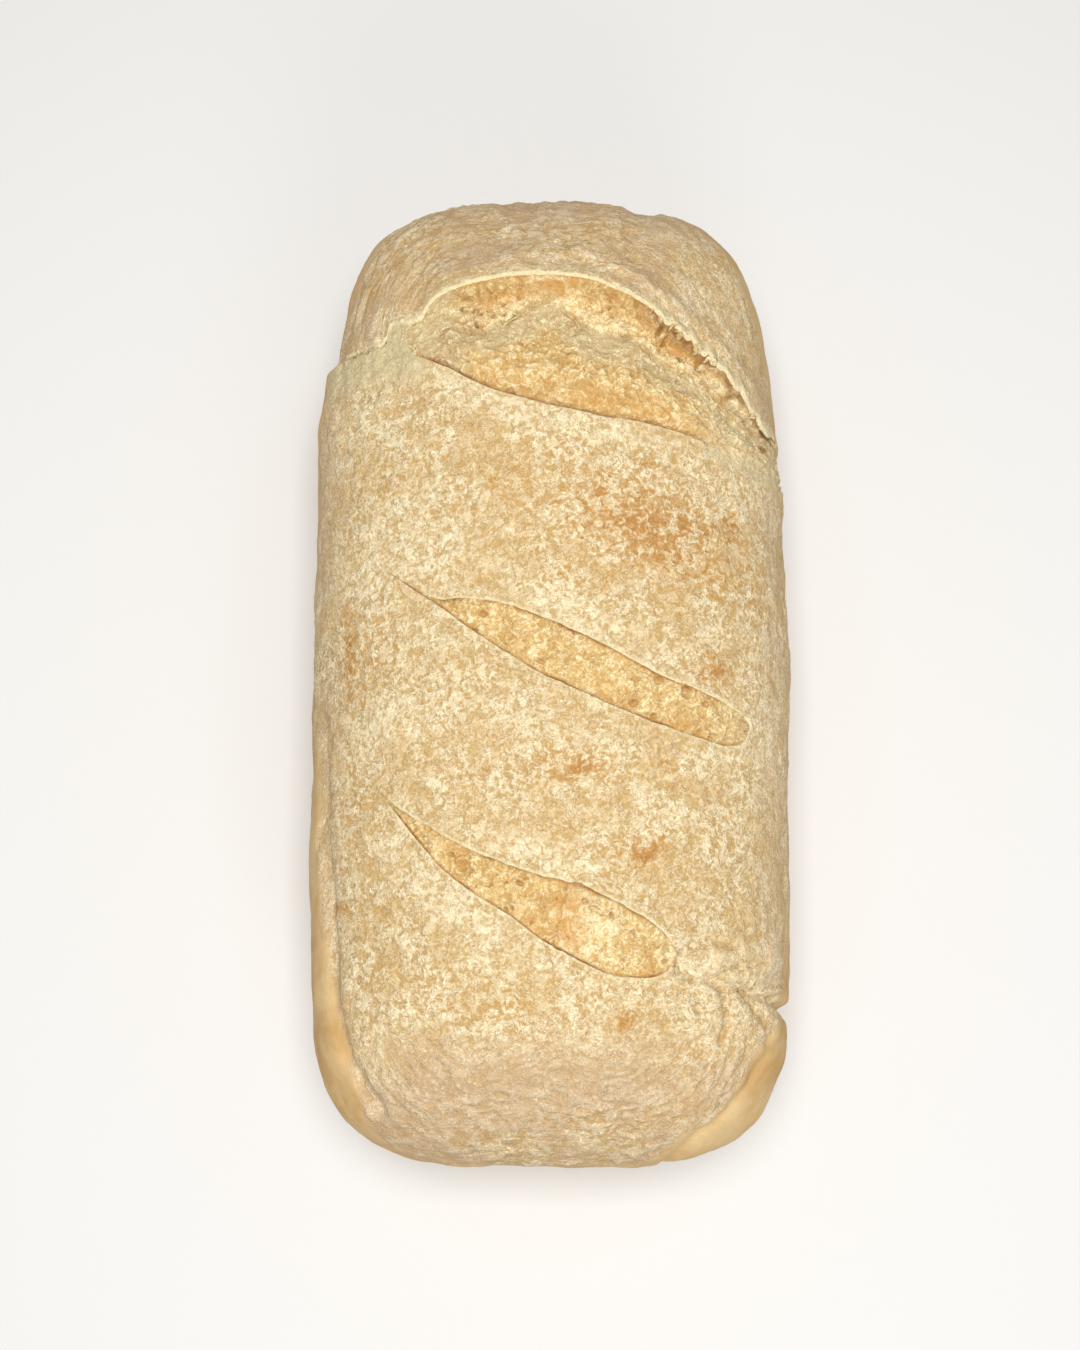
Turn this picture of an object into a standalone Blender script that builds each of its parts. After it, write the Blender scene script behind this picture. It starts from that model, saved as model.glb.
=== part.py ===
"""Tin loaf: a floury white loaf, scored three times and baked in an oblong tin.

It is one closed solid, in metres, with +Z up and its origin at the middle of its flat base.
+Y runs along the loaf to its far end, where the first cut burst open under a raised ear of crust.
The skin is a grid over the plan. Its heights add up the dome, the ear, the cuts and the folds,
and the walls and the base are rings that follow the grid's own edge down to the table.
"""

import bmesh
import bpy
import numpy as np

MM = 0.001

# Driving dimensions of the loaf
LENGTH = 250 * MM
WIDTH = 122 * MM
RIM_HEIGHT = 57 * MM  # where the crust that leaned on the tin gives way to the dome
DOME_RISE = 43 * MM  # from the rim to the crown
WALL_TAPER = 6.5 * MM  # how far the base is set in from the rim, as a tin's sides are
FOOT_RADIUS = 6 * MM  # rounding between the walls and the base
FAR_NARROWING = 0.08  # share of the width that is lost towards the burst end

# The plan's outline is |x|^PLAN_X + |y|^PLAN_Y = 1 in half widths and half lengths
PLAN_X = 3.4
PLAN_Y = 6.0
CROWN_BLEND = 1.5  # lower makes the crown flatter
SHOULDER = 2.2  # higher makes the shoulders squarer

# The mesh, whose rows follow the edges of the cuts
COLUMNS = 38
ROWS = 80
WALL_RINGS = 4
FOOT_RINGS = 2

TORN_EDGE = 0.8 * MM  # run of the drop at a torn or cut edge of crust

# The cuts, each by its near and its far edge as points (x, y) in millimetres,
# the mesh rows that run along those edges, and the run of the wall inside them
NEAR_CUT = {
    "near": [(-40, -36), (-33, -44), (-19, -58), (-3, -69), (12, -77), (24, -78), (30, -74)],
    "far": [(-40, -36), (-28, -43), (-12, -51), (7, -56.5), (22, -64), (28, -69), (30, -74)],
    "rows": (18, 24),
    "wall": TORN_EDGE,
    "edge_depth": 3.0 * MM,
    "bulge": 1.6 * MM,
}
MIDDLE_CUT = {
    "near": [(-36, 16), (-27, 9.5), (-12, -1), (7, -11.5), (26, -19), (42, -23), (48.5, -20)],
    "far": [(-36, 16), (-27, 13), (-12, 11), (7, 3.5), (26, -6), (42, -13), (48.5, -20)],
    "rows": (38, 44),
    "wall": TORN_EDGE,
    "edge_depth": 2.8 * MM,
    "bulge": 1.6 * MM,
}
BURST = {
    "near": [(-61, 74), (-46, 76), (-33, 73), (-17, 65), (2, 58.5), (22, 55), (42, 50.5), (61, 47)],
    "far": [
        (-61, 78.5), (-48, 79.5), (-41, 80.5), (-37, 82.5), (-31, 84), (-27, 88), (-20, 91.5), (-9, 93.5),
        (3, 93.5), (13, 91), (20, 87.5), (28, 81.5), (37, 74), (46, 66), (53, 60), (61, 57),
    ],
    "rows": (58, 70),
    "wall": 2.2 * MM,
}  # fmt: skip
CUTS = (NEAR_CUT, MIDDLE_CUT, BURST)
TIP_WIDTH = 2.4 * MM  # the rows along a cut's two edges come no closer than this
CREASE_DEPTH = 2.4 * MM  # just inside the burst's near edge
HOLLOW_DEPTH = 6.5 * MM  # under the ear
EAR_RISE = 3.6 * MM  # how proud the ear's edge stands of the dome
EAR_REACH = 15 * MM  # how far back the ear sinks to the dome again
WELT_RISE = 0.9 * MM  # how proud the crust stands along the burst's near edge
WELT_REACH = 7 * MM
TEAR_DEPTH = 2.2 * MM  # of the tear that runs on down the wall below the burst's right end
TEAR_FOOT = 20 * MM  # height at which that tear ends

# Each furrow in the crust by the points it runs through, its depth and its half width:
# the open fold along the near left side, the furrow off the near cut, and the far end's dip
FOLD = {
    "line": [(-57, -5), (-54, -30), (-51, -58), (-49.5, -84), (-47, -98), (-38, -110)],
    "depth": 3.0 * MM,
    "width": 3.4 * MM,
}
FURROW = {"line": [(28, -74), (45, -81), (61, -88)], "depth": 1.8 * MM, "width": 3.0 * MM}
DIP = {"line": [(25, 100), (25, 125)], "depth": 1.5 * MM, "width": 7 * MM}

SWELL_RISE = 0.35 * MM  # the slow rise and fall of a hand-shaped loaf
SWELL_LENGTH = 17 * MM
LEAST_SHARE = 0.45  # no hollow takes away more than the rest of the dome's height


def edge_curve(points, x):
    """y at x on the smooth curve through the points, which are in millimetres."""
    px, py = np.array(points, float).T * MM
    slope = np.gradient(py, px)
    k = np.clip(np.searchsorted(px, x) - 1, 0, len(px) - 2)
    step = px[k + 1] - px[k]
    t = np.clip((x - px[k]) / step, 0, 1)
    start = py[k] * (1 + 2 * t) * (1 - t) ** 2 + slope[k] * step * t * (1 - t) ** 2
    end = py[k + 1] * t * t * (3 - 2 * t) - slope[k + 1] * step * t * t * (1 - t)
    return start + end


def smooth(low, high, value):
    """0 below low, 1 above high and an even ramp between them."""
    t = np.clip((value - low) / (high - low), 0, 1)
    return t * t * (3 - 2 * t)


def hump(distance, width):
    """1 at no distance, falling away on both sides over about the width."""
    return np.exp(-((distance / width) ** 2))


def half_width(y):
    """Half the loaf's width at the rim, which narrows towards the burst end."""
    return WIDTH / 2 * (1 - FAR_NARROWING * smooth(45 * MM, 118 * MM, y))


def dome_height(x, y):
    """The smooth dome before it was cut."""
    spread = np.abs(x / half_width(y)) ** PLAN_X + np.abs(y / (LENGTH / 2)) ** PLAN_Y
    level = np.clip(spread ** (1 / CROWN_BLEND), 0, 1)
    return RIM_HEIGHT + DOME_RISE * (1 - level) ** (1 / SHOULDER)


def across(cut, x, y):
    """Share of the way over a cut, from its near edge to its far edge, and its width at x."""
    near, far = edge_curve(cut["near"], x), edge_curve(cut["far"], x)
    width = np.maximum(far - near, 0.1 * MM)
    return (y - near) / width, width


def score_depth(cut, x, y):
    """A score's floor, which drops off the crust at both edges and swells in the middle."""
    share, width = across(cut, x, y)
    from_edge = np.minimum(share, 1 - share) * width
    floor = cut["edge_depth"] - cut["bulge"] * np.sin(np.pi * np.clip(share, 0, 1))
    opened = smooth(0.8 * MM, 8 * MM, width)
    return -floor * opened * smooth(0, cut["wall"], from_edge)


def burst_depth(x, y):
    """The torn floor of the burst, from the crease at its near edge to the wall under the ear."""
    share, width = across(BURST, x, y)
    s = np.clip(share, 0, 1)
    crease = CREASE_DEPTH * smooth(0, TORN_EDGE, share * width) * (1 - smooth(0.04, 0.22, s))
    hollow = HOLLOW_DEPTH * smooth(0.32, 0.8, s)
    opened = smooth(2 * MM, 16 * MM, width)
    return -(crease + hollow) * opened * smooth(0, BURST["wall"], (1 - s) * width)


def ear_rise(x, y):
    """The flap of crust that lifted beyond the burst, and the low welt along the burst's near edge."""
    share, width = across(BURST, x, y)
    behind = np.maximum((share - 1) * width, 0)
    before = np.maximum(-share * width, 0)
    flap = EAR_RISE * smooth(4 * MM, 22 * MM, width) * hump(behind, EAR_REACH) * (share > 0.999)
    return flap + WELT_RISE * hump(before, WELT_REACH) * (share < 0.001)


def furrow_depth(furrow, x, y):
    """How far a furrow sinks the crust at a point: a rounded valley along its line."""
    line = np.array(furrow["line"], float) * MM
    nearest = np.full(x.shape, LENGTH)
    for (x0, y0), (x1, y1) in zip(line[:-1], line[1:]):
        run = np.hypot(x1 - x0, y1 - y0)
        t = np.clip(((x - x0) * (x1 - x0) + (y - y0) * (y1 - y0)) / run**2, 0, 1)
        away = np.hypot(x - x0 - t * (x1 - x0), y - y0 - t * (y1 - y0))
        nearest = np.minimum(nearest, away)
    return furrow["depth"] * hump(nearest, furrow["width"])


def swell(x, y):
    """The slow rise and fall of a hand-shaped loaf."""
    a, b = x / SWELL_LENGTH, y / SWELL_LENGTH
    return SWELL_RISE * (np.sin(a + 1.1) * np.sin(0.74 * b + 0.4) + 0.7 * np.sin(1.5 * a - 1.2 * b))


def skin_height(x, y):
    """Height of the finished crust over a point of the plan."""
    dome = dome_height(x, y) - RIM_HEIGHT
    height = dome + swell(x, y) + ear_rise(x, y) + burst_depth(x, y)
    height += score_depth(NEAR_CUT, x, y) + score_depth(MIDDLE_CUT, x, y)
    for furrow in (FOLD, FURROW, DIP):
        height -= furrow_depth(furrow, x, y)
    return RIM_HEIGHT + np.maximum(height, LEAST_SHARE * dome)


def outline_pull(a, b):
    """How far the point (a, b) of the unit square is pulled in, so that its edge meets the outline."""
    reach = np.maximum(np.maximum(np.abs(a), np.abs(b)), 1e-9)
    low, high = np.full(a.shape, 0.5), np.ones(a.shape)
    for _ in range(30):  # halves the gap to the outline along each ray
        middle = (low + high) / 2
        outside = np.abs(middle * a / reach) ** PLAN_X + np.abs(middle * b / reach) ** PLAN_Y > 1
        low, high = np.where(outside, low, middle), np.where(outside, middle, high)
    return 1 + (low - 1) * reach**5


def locked_rows(x):
    """The rows that run along the cuts' edges and wall feet, and y of each at every column's x."""
    rows, ys = [], []
    for cut in CUTS:
        near, far = edge_curve(cut["near"], x), edge_curve(cut["far"], x)
        tips = np.array([cut["near"][0][0], cut["near"][-1][0]]) * MM
        beyond = np.maximum(np.maximum(tips[0] - x, x - tips[1]), 0)
        spread = np.maximum(TIP_WIDTH + 0.3 * beyond - (far - near), 0) / 2
        near, far = near - spread, far + spread
        near_foot = near + np.minimum(TORN_EDGE, (far - near) / 4)
        far_foot = far - np.minimum(cut["wall"], (far - near) / 4)
        first, last = cut["rows"]
        rows += [first, first + 1, last - 1, last]
        ys += [near, near_foot, far_foot, far]
    return rows, np.array(ys)


def plan_grid():
    """x and y of the skin's grid, whose rows bend to follow the cuts."""
    a = np.tile(np.linspace(-1, 1, COLUMNS + 1), (ROWS + 1, 1))
    b = np.tile(np.linspace(-1, 1, ROWS + 1)[:, None], (1, COLUMNS + 1))
    for _ in range(6):  # a row's x shifts a little as the row bends
        pull = outline_pull(a, b)
        x = half_width(LENGTH / 2 * b * pull) * a * pull
        for column in range(COLUMNS + 1):
            at = [row for cut in CUTS for row in cut["rows"]]
            rows, ys = locked_rows(np.interp(range(ROWS + 1), at, x[at, column]))
            y = np.array([ys[k, row] for k, row in enumerate(rows)])
            level = y / (LENGTH / 2 * pull[rows, column])
            b[:, column] = np.interp(range(ROWS + 1), [0] + rows + [ROWS], [-1, *level, 1])
    pull = outline_pull(a, b)
    y = LENGTH / 2 * b * pull
    return half_width(y) * a * pull, y


def rim_path():
    """Indices of the grid's edge points, counter-clockwise from the near left corner."""
    right = [(0, c) for c in range(COLUMNS)] + [(r, COLUMNS) for r in range(ROWS)]
    left = [(ROWS, c) for c in range(COLUMNS, 0, -1)] + [(r, 0) for r in range(ROWS, 0, -1)]
    return right + left


def wall_rings(rim_x, rim_y):
    """Rings of points from below the rim to the edge of the flat base."""
    burst_end = (BURST["near"][-1][1] + BURST["far"][-1][1]) / 2 * MM
    tear = TEAR_DEPTH * hump(rim_y - burst_end, 5 * MM) * (rim_x > 0)
    rings = []
    for k in range(1, WALL_RINGS + 1):
        z = RIM_HEIGHT + (FOOT_RADIUS - RIM_HEIGHT) * k / WALL_RINGS
        gap = tear * smooth(TEAR_FOOT, RIM_HEIGHT, z)
        rings.append((z, WALL_TAPER * (1 - z / RIM_HEIGHT) + gap))
    for k in range(1, FOOT_RINGS + 1):
        turn = np.pi / 2 * k / FOOT_RINGS
        z = FOOT_RADIUS * (1 - np.sin(turn))
        rings.append((z, WALL_TAPER * (1 - z / RIM_HEIGHT) + FOOT_RADIUS * (1 - np.cos(turn))))
    return [(rim_x * (1 - i / (WIDTH / 2)), rim_y * (1 - i / (LENGTH / 2)), z) for z, i in rings]


def build_loaf():
    """The loaf's mesh: the skin, the walls and the base, sewn into one closed solid."""
    x, y = plan_grid()
    z = skin_height(x, y)
    mesh = bmesh.new()
    skin = [[mesh.verts.new(point) for point in zip(*row)] for row in zip(x, y, z)]
    for r in range(ROWS):
        for c in range(COLUMNS):
            corners = (skin[r][c], skin[r][c + 1], skin[r + 1][c + 1], skin[r + 1][c])
            mesh.faces.new(corners)
    path = rim_path()
    upper = [skin[r][c] for r, c in path]
    rim_x, rim_y = np.array([(x[r, c], y[r, c]) for r, c in path]).T
    for ring_x, ring_y, height in wall_rings(rim_x, rim_y):
        lower = [mesh.verts.new((px, py, height)) for px, py in zip(ring_x, ring_y)]
        for k in range(len(path)):
            ahead = (k + 1) % len(path)
            mesh.faces.new((upper[ahead], upper[k], lower[k], lower[ahead]))
        upper = lower
    mesh.faces.new(upper[::-1])
    bmesh.ops.triangulate(mesh, faces=mesh.faces)
    data = bpy.data.meshes.new("tin_loaf")
    mesh.to_mesh(data)
    mesh.free()
    return data


def crust_material():
    """Pale, floury crust."""
    material = bpy.data.materials.new("crust")
    material.use_nodes = True
    shader = material.node_tree.nodes["Principled BSDF"]
    shader.inputs["Base Color"].default_value = (0.72, 0.53, 0.31, 1)
    shader.inputs["Roughness"].default_value = 0.8
    shader.inputs["Metallic"].default_value = 0.0
    return material


def main():
    for item in list(bpy.data.objects):
        bpy.data.objects.remove(item)
    loaf = bpy.data.objects.new("tin_loaf", build_loaf())
    loaf.data.materials.append(crust_material())
    loaf.data.shade_smooth()
    loaf.data.set_sharp_from_angle(angle=np.radians(40))
    bpy.context.scene.collection.objects.link(loaf)


main()
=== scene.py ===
import itertools
import math

import bpy
import numpy as np
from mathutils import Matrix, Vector


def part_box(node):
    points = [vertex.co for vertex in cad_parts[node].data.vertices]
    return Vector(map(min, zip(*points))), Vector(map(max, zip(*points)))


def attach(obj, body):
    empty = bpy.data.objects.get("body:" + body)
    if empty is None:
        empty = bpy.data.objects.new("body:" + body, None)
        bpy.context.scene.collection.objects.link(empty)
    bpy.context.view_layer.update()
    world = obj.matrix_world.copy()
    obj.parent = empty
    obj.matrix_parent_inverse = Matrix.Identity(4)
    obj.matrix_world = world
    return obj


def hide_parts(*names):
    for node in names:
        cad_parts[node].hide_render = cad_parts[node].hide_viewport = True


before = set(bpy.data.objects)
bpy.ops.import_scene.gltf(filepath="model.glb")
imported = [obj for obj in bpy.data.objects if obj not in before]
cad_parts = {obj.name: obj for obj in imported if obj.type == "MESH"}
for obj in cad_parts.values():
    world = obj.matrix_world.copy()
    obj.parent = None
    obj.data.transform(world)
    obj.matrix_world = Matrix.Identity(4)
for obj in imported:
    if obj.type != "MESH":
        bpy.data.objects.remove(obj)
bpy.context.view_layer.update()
mm = 0.001
draws = np.random.default_rng(41)

# the loaf's overall size in millimetres, from its CAD box
boxLow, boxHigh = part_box("tin_loaf")
halfWide, halfLong = [(boxHigh[i] - boxLow[i]) / 2 / mm for i in (0, 1)]

loaf = {
    "rimHeight": 57,  # top of the walls that leaned on the tin
    "rise": 43,
    "planX": 3.5,  # outline: |x|^planX + |y|^planY = 1
    "planY": 8,
    "crown": 1.5,
    "shoulder": 2.2,
    "farNarrowing": 0.08,
    "taper": 6.5,
    "foot": 6,
    "columns": 200,
    "wallRings": 15,
    "footRings": 4,
}

# each cut by its near and far edge, and the crust's rows that run along them
cuts = {
    "near": {
        "nearEdge": [(-41.5, -33.5), (-37, -39.5), (-33, -44.5), (-26, -52.6), (-19, -58.2), (-10.7, -63.4),
                     (-2.5, -69.4), (4.5, -73.3), (11.5, -76.8), (18.5, -78.4), (24, -78.2), (27.6, -76.7),
                     (29.4, -74.7), (29.9, -72.6)],
        "farEdge": [(-41.5, -33.5), (-36, -38), (-28.5, -42.6), (-21.3, -46.8), (-12, -50.8), (-2.5, -53.9),
                    (7, -56.4), (16.2, -60.6), (23.3, -64.7), (27.4, -68.2), (29.2, -70.4), (29.9, -72.6)],
        "rows": (108, 118),
        "drop": 0.4,
        "bulge": 0.55,
    },
    "middle": {
        "nearEdge": [(-41, 20.6), (-34, 15.2), (-26.6, 9.8), (-19.3, 4.1), (-12, -0.9), (-2.5, -6.8),
                     (7, -11.1), (16.5, -15.3), (26.1, -18.9), (35.9, -21.8), (42.5, -23.2), (46.2, -22.4),
                     (48.2, -20.6),
                     (48.9, -18.4)],
        "farEdge": [(-41, 20.6), (-34, 16), (-28.5, 12.6), (-21.7, 12.3), (-12.1, 11), (-2.5, 7.7), (7, 3.6),
                    (16.6, -1.1), (26.2, -6.3), (36, -9.7), (43.6, -13), (47, -15.2), (48.4, -16.7),
                    (48.9, -18.4)],
        "rows": (192, 202),
        "drop": 0.4,
        "bulge": 0.5,
    },
    "burst": {
        "nearEdge": [(-63, 74.5), (-53, 75.6), (-45.5, 77.4), (-39, 76.4), (-33.5, 73.8), (-24.6, 69.1),
                     (-17.2, 64.7), (-7.4, 61.1), (2.4, 58.5), (12, 56.5), (22, 55.1), (32, 53.2), (42, 50.6),
                     (50.2, 48.3), (63, 46.6)],
        "farEdge": [(-63, 77.6), (-53.4, 78.2), (-47.8, 77.6), (-43.6, 77.8), (-41.2, 78.8), (-39.6, 82.2),
                    (-37, 82.7), (-33.4, 82.4), (-31.2, 83.4), (-29.4, 85.9), (-26.6, 88), (-21.5, 90.1),
                    (-12.5, 92), (2.5, 92.5), (12.5, 90.5), (19.9, 87.2), (27.3, 81.6), (37.4, 73.6),
                    (46.5, 65.2), (52.1, 60.4), (63, 57.6)],
        "rows": (282, 296),
    },
}
leftStep = {"drawnIn": 1.9, "swollen": 0.9, "fadesOver": 22}
lastRow = 354
tipGap = 0.7  # least distance between the rows along a cut's two edges


def smooth(low, high, value):
    t = np.clip((value - low) / (high - low), 0, 1)
    return t * t * (3 - 2 * t)


def hump(distance, width):
    return np.exp(-((distance / width) ** 2))


def curveAt(points, x):  # y at x on the smooth curve through the points
    px, py = np.array(points, float).T
    slope = np.gradient(py, px)
    k = np.clip(np.searchsorted(px, x) - 1, 0, len(px) - 2)
    step = px[k + 1] - px[k]
    t = np.clip((x - px[k]) / step, 0, 1)
    start = py[k] * (1 + 2 * t) * (1 - t) ** 2 + slope[k] * step * t * (1 - t) ** 2
    return start + py[k + 1] * t * t * (3 - 2 * t) - slope[k + 1] * step * t * t * (1 - t)


# random fields that stay the same each run
shuffled = draws.permutation(256)
slopes = draws.normal(size=(256, 3))
slopes /= np.linalg.norm(slopes, axis=1)[:, None]


def bumps(points, size, seed=0):  # a smooth field from about -1 to 1, with lumps of about the size given
    p = np.stack(points, -1) / size + seed * 17.31
    cell = np.floor(p).astype(int)
    local = p - cell
    fade = local**3 * (local * (local * 6 - 15) + 10)
    total = np.zeros(p.shape[:-1])
    for corner in itertools.product((0, 1), repeat=3):
        i, j, k = [(cell[..., n] + corner[n]) & 255 for n in range(3)]
        slope = slopes[shuffled[(shuffled[(shuffled[i] + j) & 255] + k) & 255]]
        weight = np.prod(np.where(np.array(corner) == 1, fade, 1 - fade), axis=-1)
        total += weight * np.sum(slope * (local - np.array(corner)), axis=-1)
    return total * 1.7


def crags(points, size, seed=0, layers=3):  # finer and finer bumps added up
    field, share = 0, 1.0
    for layer in range(layers):
        field = field + share * bumps(points, size * 0.5**layer, seed + layer)
        share *= 0.5
    return field / 1.5


def ridges(points, size, seed=0):  # sharp crests with round valleys between them, 0 to 1
    return 1 - np.clip(np.abs(bumps(points, size, seed)) * 2.2, 0, 1)


# the smooth loaf under all its detail
def halfWidthAt(y):
    return halfWide * (1 - loaf["farNarrowing"] * smooth(45, 118, y))


def levelAt(x, y):
    spread = np.abs(x / halfWidthAt(y)) ** loaf["planX"] + np.abs(y / halfLong) ** loaf["planY"]
    return np.clip(spread ** (1 / loaf["crown"]), 0, 1)


def domeAt(x, y):
    return loaf["rimHeight"] + loaf["rise"] * (1 - levelAt(x, y)) ** (1 / loaf["shoulder"])


def domeNormal(x, y):
    reach = 0.3
    slopeX = (domeAt(x + reach, y) - domeAt(x - reach, y)) / (2 * reach)
    slopeY = (domeAt(x, y + reach) - domeAt(x, y - reach)) / (2 * reach)
    normal = np.stack([-slopeX, -slopeY, np.ones_like(x)], -1)
    return normal / np.linalg.norm(normal, axis=-1)[..., None]


def outlineDistance(x, y):  # millimetres in from the outline, seen from above
    sideways = np.abs(x / halfWidthAt(y)) ** 4
    endways = np.abs(y / halfLong) ** 4
    total = np.maximum(sideways + endways, 1e-9)
    reach = (halfWide * sideways + halfLong * endways) / total
    return (1 - total**0.25) * reach


def ringCoordinates(x, y):  # round the loaf, and inwards from its outline: what the wrinkles follow
    return np.arctan2(y / halfLong, x / halfWide) * 85, outlineDistance(x, y)


def evenSteps(heightAlong, half):  # maps equal steps over the bent surface to places from -1 to 1
    place = np.linspace(0, 1, 4001)
    height = heightAlong(place * half)
    run = np.hypot(np.diff(place * half), 0.45 * np.diff(height))
    travelled = np.concatenate([[0], np.cumsum(run)])
    travelled /= travelled[-1]
    whole = np.concatenate([-place[:0:-1], place])
    return whole, np.concatenate([-travelled[:0:-1], travelled])


placeX, stepX = evenSteps(lambda x: domeAt(x, np.zeros_like(x)), halfWide)
placeY, stepY = evenSteps(lambda y: domeAt(np.zeros_like(y), y), halfLong)


def outlinePull(a, b):
    reach = np.maximum(np.maximum(np.abs(a), np.abs(b)), 1e-9)
    low, high = np.full(a.shape, 0.5), np.ones(a.shape)
    for halving in range(26):
        middle = (low + high) / 2
        sideways = np.abs(middle * a / reach) ** loaf["planX"]
        outside = sideways + np.abs(middle * b / reach) ** loaf["planY"] > 1
        low, high = np.where(outside, low, middle), np.where(outside, middle, high)
    return 1 + (low - 1) * reach**5


# the cuts' edges
def edgeWander(name, x):  # how far the torn and cut edges stray from their smooth line
    flat = (x, np.zeros_like(x), np.zeros_like(x))
    if name != "burst":
        return 0.22 * bumps(flat, 4, 3) + 0.12 * bumps(flat, 1.6, 5)
    ragged = 0.1 + 1.25 * smooth(20, 30, x) * smooth(62, 54, x) + 0.5 * (1 - smooth(-42, -34, x))
    wander = 0.8 * bumps(flat, 4.2, 7) + 0.8 * (ridges(flat, 2.9, 9) - 0.5)
    return ragged * (wander + 0.35 * bumps(flat, 1.2, 11))


def cutEdges(name, x):
    cut = cuts[name]
    near, far = curveAt(cut["nearEdge"], x), curveAt(cut["farEdge"], x)
    width = np.maximum(far - near, 0)
    free = smooth(0.3, 3, width)
    calm = 0.25 if name == "burst" else 1
    near = near + calm * free * edgeWander("near", x + 31)
    return near, far + free * edgeWander(name, x), width


def openness(name, x):
    first, last = cuts[name]["nearEdge"][0][0], cuts[name]["nearEdge"][-1][0]
    width = cutEdges(name, x)[2]
    within = smooth(-36, -32.6, x) * smooth(60.3, 57.3, x) if name == "burst" else smooth(last, last - 3, x)
    return smooth(0.2, 2.4, width) * within * (x > first) * (x < last)


# folds, furrows, the ear and the crust's relief, as millimetres off the smooth loaf
earEdge = {"rise": 3.4, "reach": 10, "wrinkleBack": 7.5}
leftFold = {"line": [(-57.5, -14), (-56.6, -26), (-55.8, -42), (-54.2, -60), (-52.2, -84), (-48.5, -98),
                     (-41, -110)], "depth": 1.9, "width": 1.5}
cornerFold = {"line": [(60, -86), (56, -93), (51, -97), (48, -104), (43, -110), (36, -115), (28, -123)],
              "depth": 0.9, "width": 1.2}
rightFurrow = {"line": [(29.5, -74), (35, -77.5), (40, -79.8), (46, -81.2), (53, -83.5), (60, -87)],
               "depth": 2.3, "width": 1.4}
sideFolds = [([(29.9, -72.4), (34, -70.5), (39, -69.5), (43, -71)], 0.7),  # line, depth
             ([(38, -79), (44, -75.5), (52, -74)], 0.8),
             ([(40, -79.8), (41.5, -83), (42, -88), (40.5, -93)], 0.9),
             ([(47, -82), (51, -88), (52, -94)], 0.7),
             ([(30, -75), (34, -80), (35, -86)], 0.5)]
farDip = {"line": [(22, 102), (24, 113), (25, 125)], "depth": 1.5, "width": 6}
furrows = (leftFold, cornerFold, rightFurrow, farDip)


def lineDistance(line, x, y):
    nearest = np.full(x.shape, 1e3)
    for (x0, y0), (x1, y1) in zip(line[:-1], line[1:]):
        run = np.hypot(x1 - x0, y1 - y0)
        t = np.clip(((x - x0) * (x1 - x0) + (y - y0) * (y1 - y0)) / run**2, 0, 1)
        nearest = np.minimum(nearest, np.hypot(x - x0 - t * (x1 - x0), y - y0 - t * (y1 - y0)))
    return nearest


def earLift(x, y):
    near, far, width = cutEdges("burst", x)
    back = y - far
    lifted = (smooth(3, 20, width) + 0.3 * smooth(-28, -38, x)) * (back > -0.01)
    lifted = lifted * (1 - 0.85 * smooth(46, 58, x)) * smooth(0, 5, outlineDistance(x, y))
    flap = earEdge["rise"] * hump(np.maximum(back, 0), earEdge["reach"])
    valley = 0.9 * hump(back - 4.2, 2.0) * smooth(-12, 8, x)
    secondWelt = 0.5 * hump(back - earEdge["wrinkleBack"], 2.4) * smooth(-12, 8, x)
    return lifted * (flap - valley + secondWelt)


def welts(x, y):  # the slightly proud rims of crust beside each cut
    burstNear = cutEdges("burst", x)[0]
    along = smooth(-38, -24, x) * smooth(42, 28, x)
    rise = 0.75 * along * hump(np.maximum(burstNear - y, 0), 6) * (y < burstNear + 0.01)
    for name in ("near", "middle"):
        near, far, width = cutEdges(name, x)
        beside = np.where(y < (near + far) / 2, near - y, y - far)
        rise = rise + 0.3 * hump(np.maximum(beside, 0), 2.4) * openness(name, x) * (beside > -0.01)
    return rise


def folded(x, y):
    sunk = 0
    for fold in furrows:
        sunk = sunk + fold["depth"] * hump(lineDistance(fold["line"], x, y), fold["width"])
    return -sunk


def tinSkin(x, y, z):  # 1 where the crust is smooth because it leaned on the tin
    inwards = outlineDistance(x, y)
    left = smooth(-10, -34, y) * smooth(-118, -104, y) * (x < 0)
    corner = smooth(-86, -96, y) * smooth(20, 32, x)
    reach = 0.2 + (2.6 + 1.9 * smooth(-50, -80, y)) * left + 5.2 * corner + 0.7 * bumps((x, y, z), 9, 21)
    skin = smooth(1.4, -0.6, inwards - reach)
    return np.maximum(skin, smooth(loaf["rimHeight"] + 3, loaf["rimHeight"] - 3, z))


def wrinkled(x, y):  # where the skin stretched into streaks along the outline
    behindEar = smooth(-2, 8, y - curveAt(cuts["burst"]["farEdge"], x))
    nearEnd = smooth(-84, -104, y)
    sides = smooth(15, 4, outlineDistance(x, y))
    behindEar = behindEar * (1 - 0.65 * smooth(20, 44, x))
    whole = np.maximum(np.maximum(behindEar, nearEnd), 0.6 * sides)
    return whole * np.where(x < 0, smooth(1, 9, np.abs(y)), 1)  # calm where the ring coordinate starts


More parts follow.
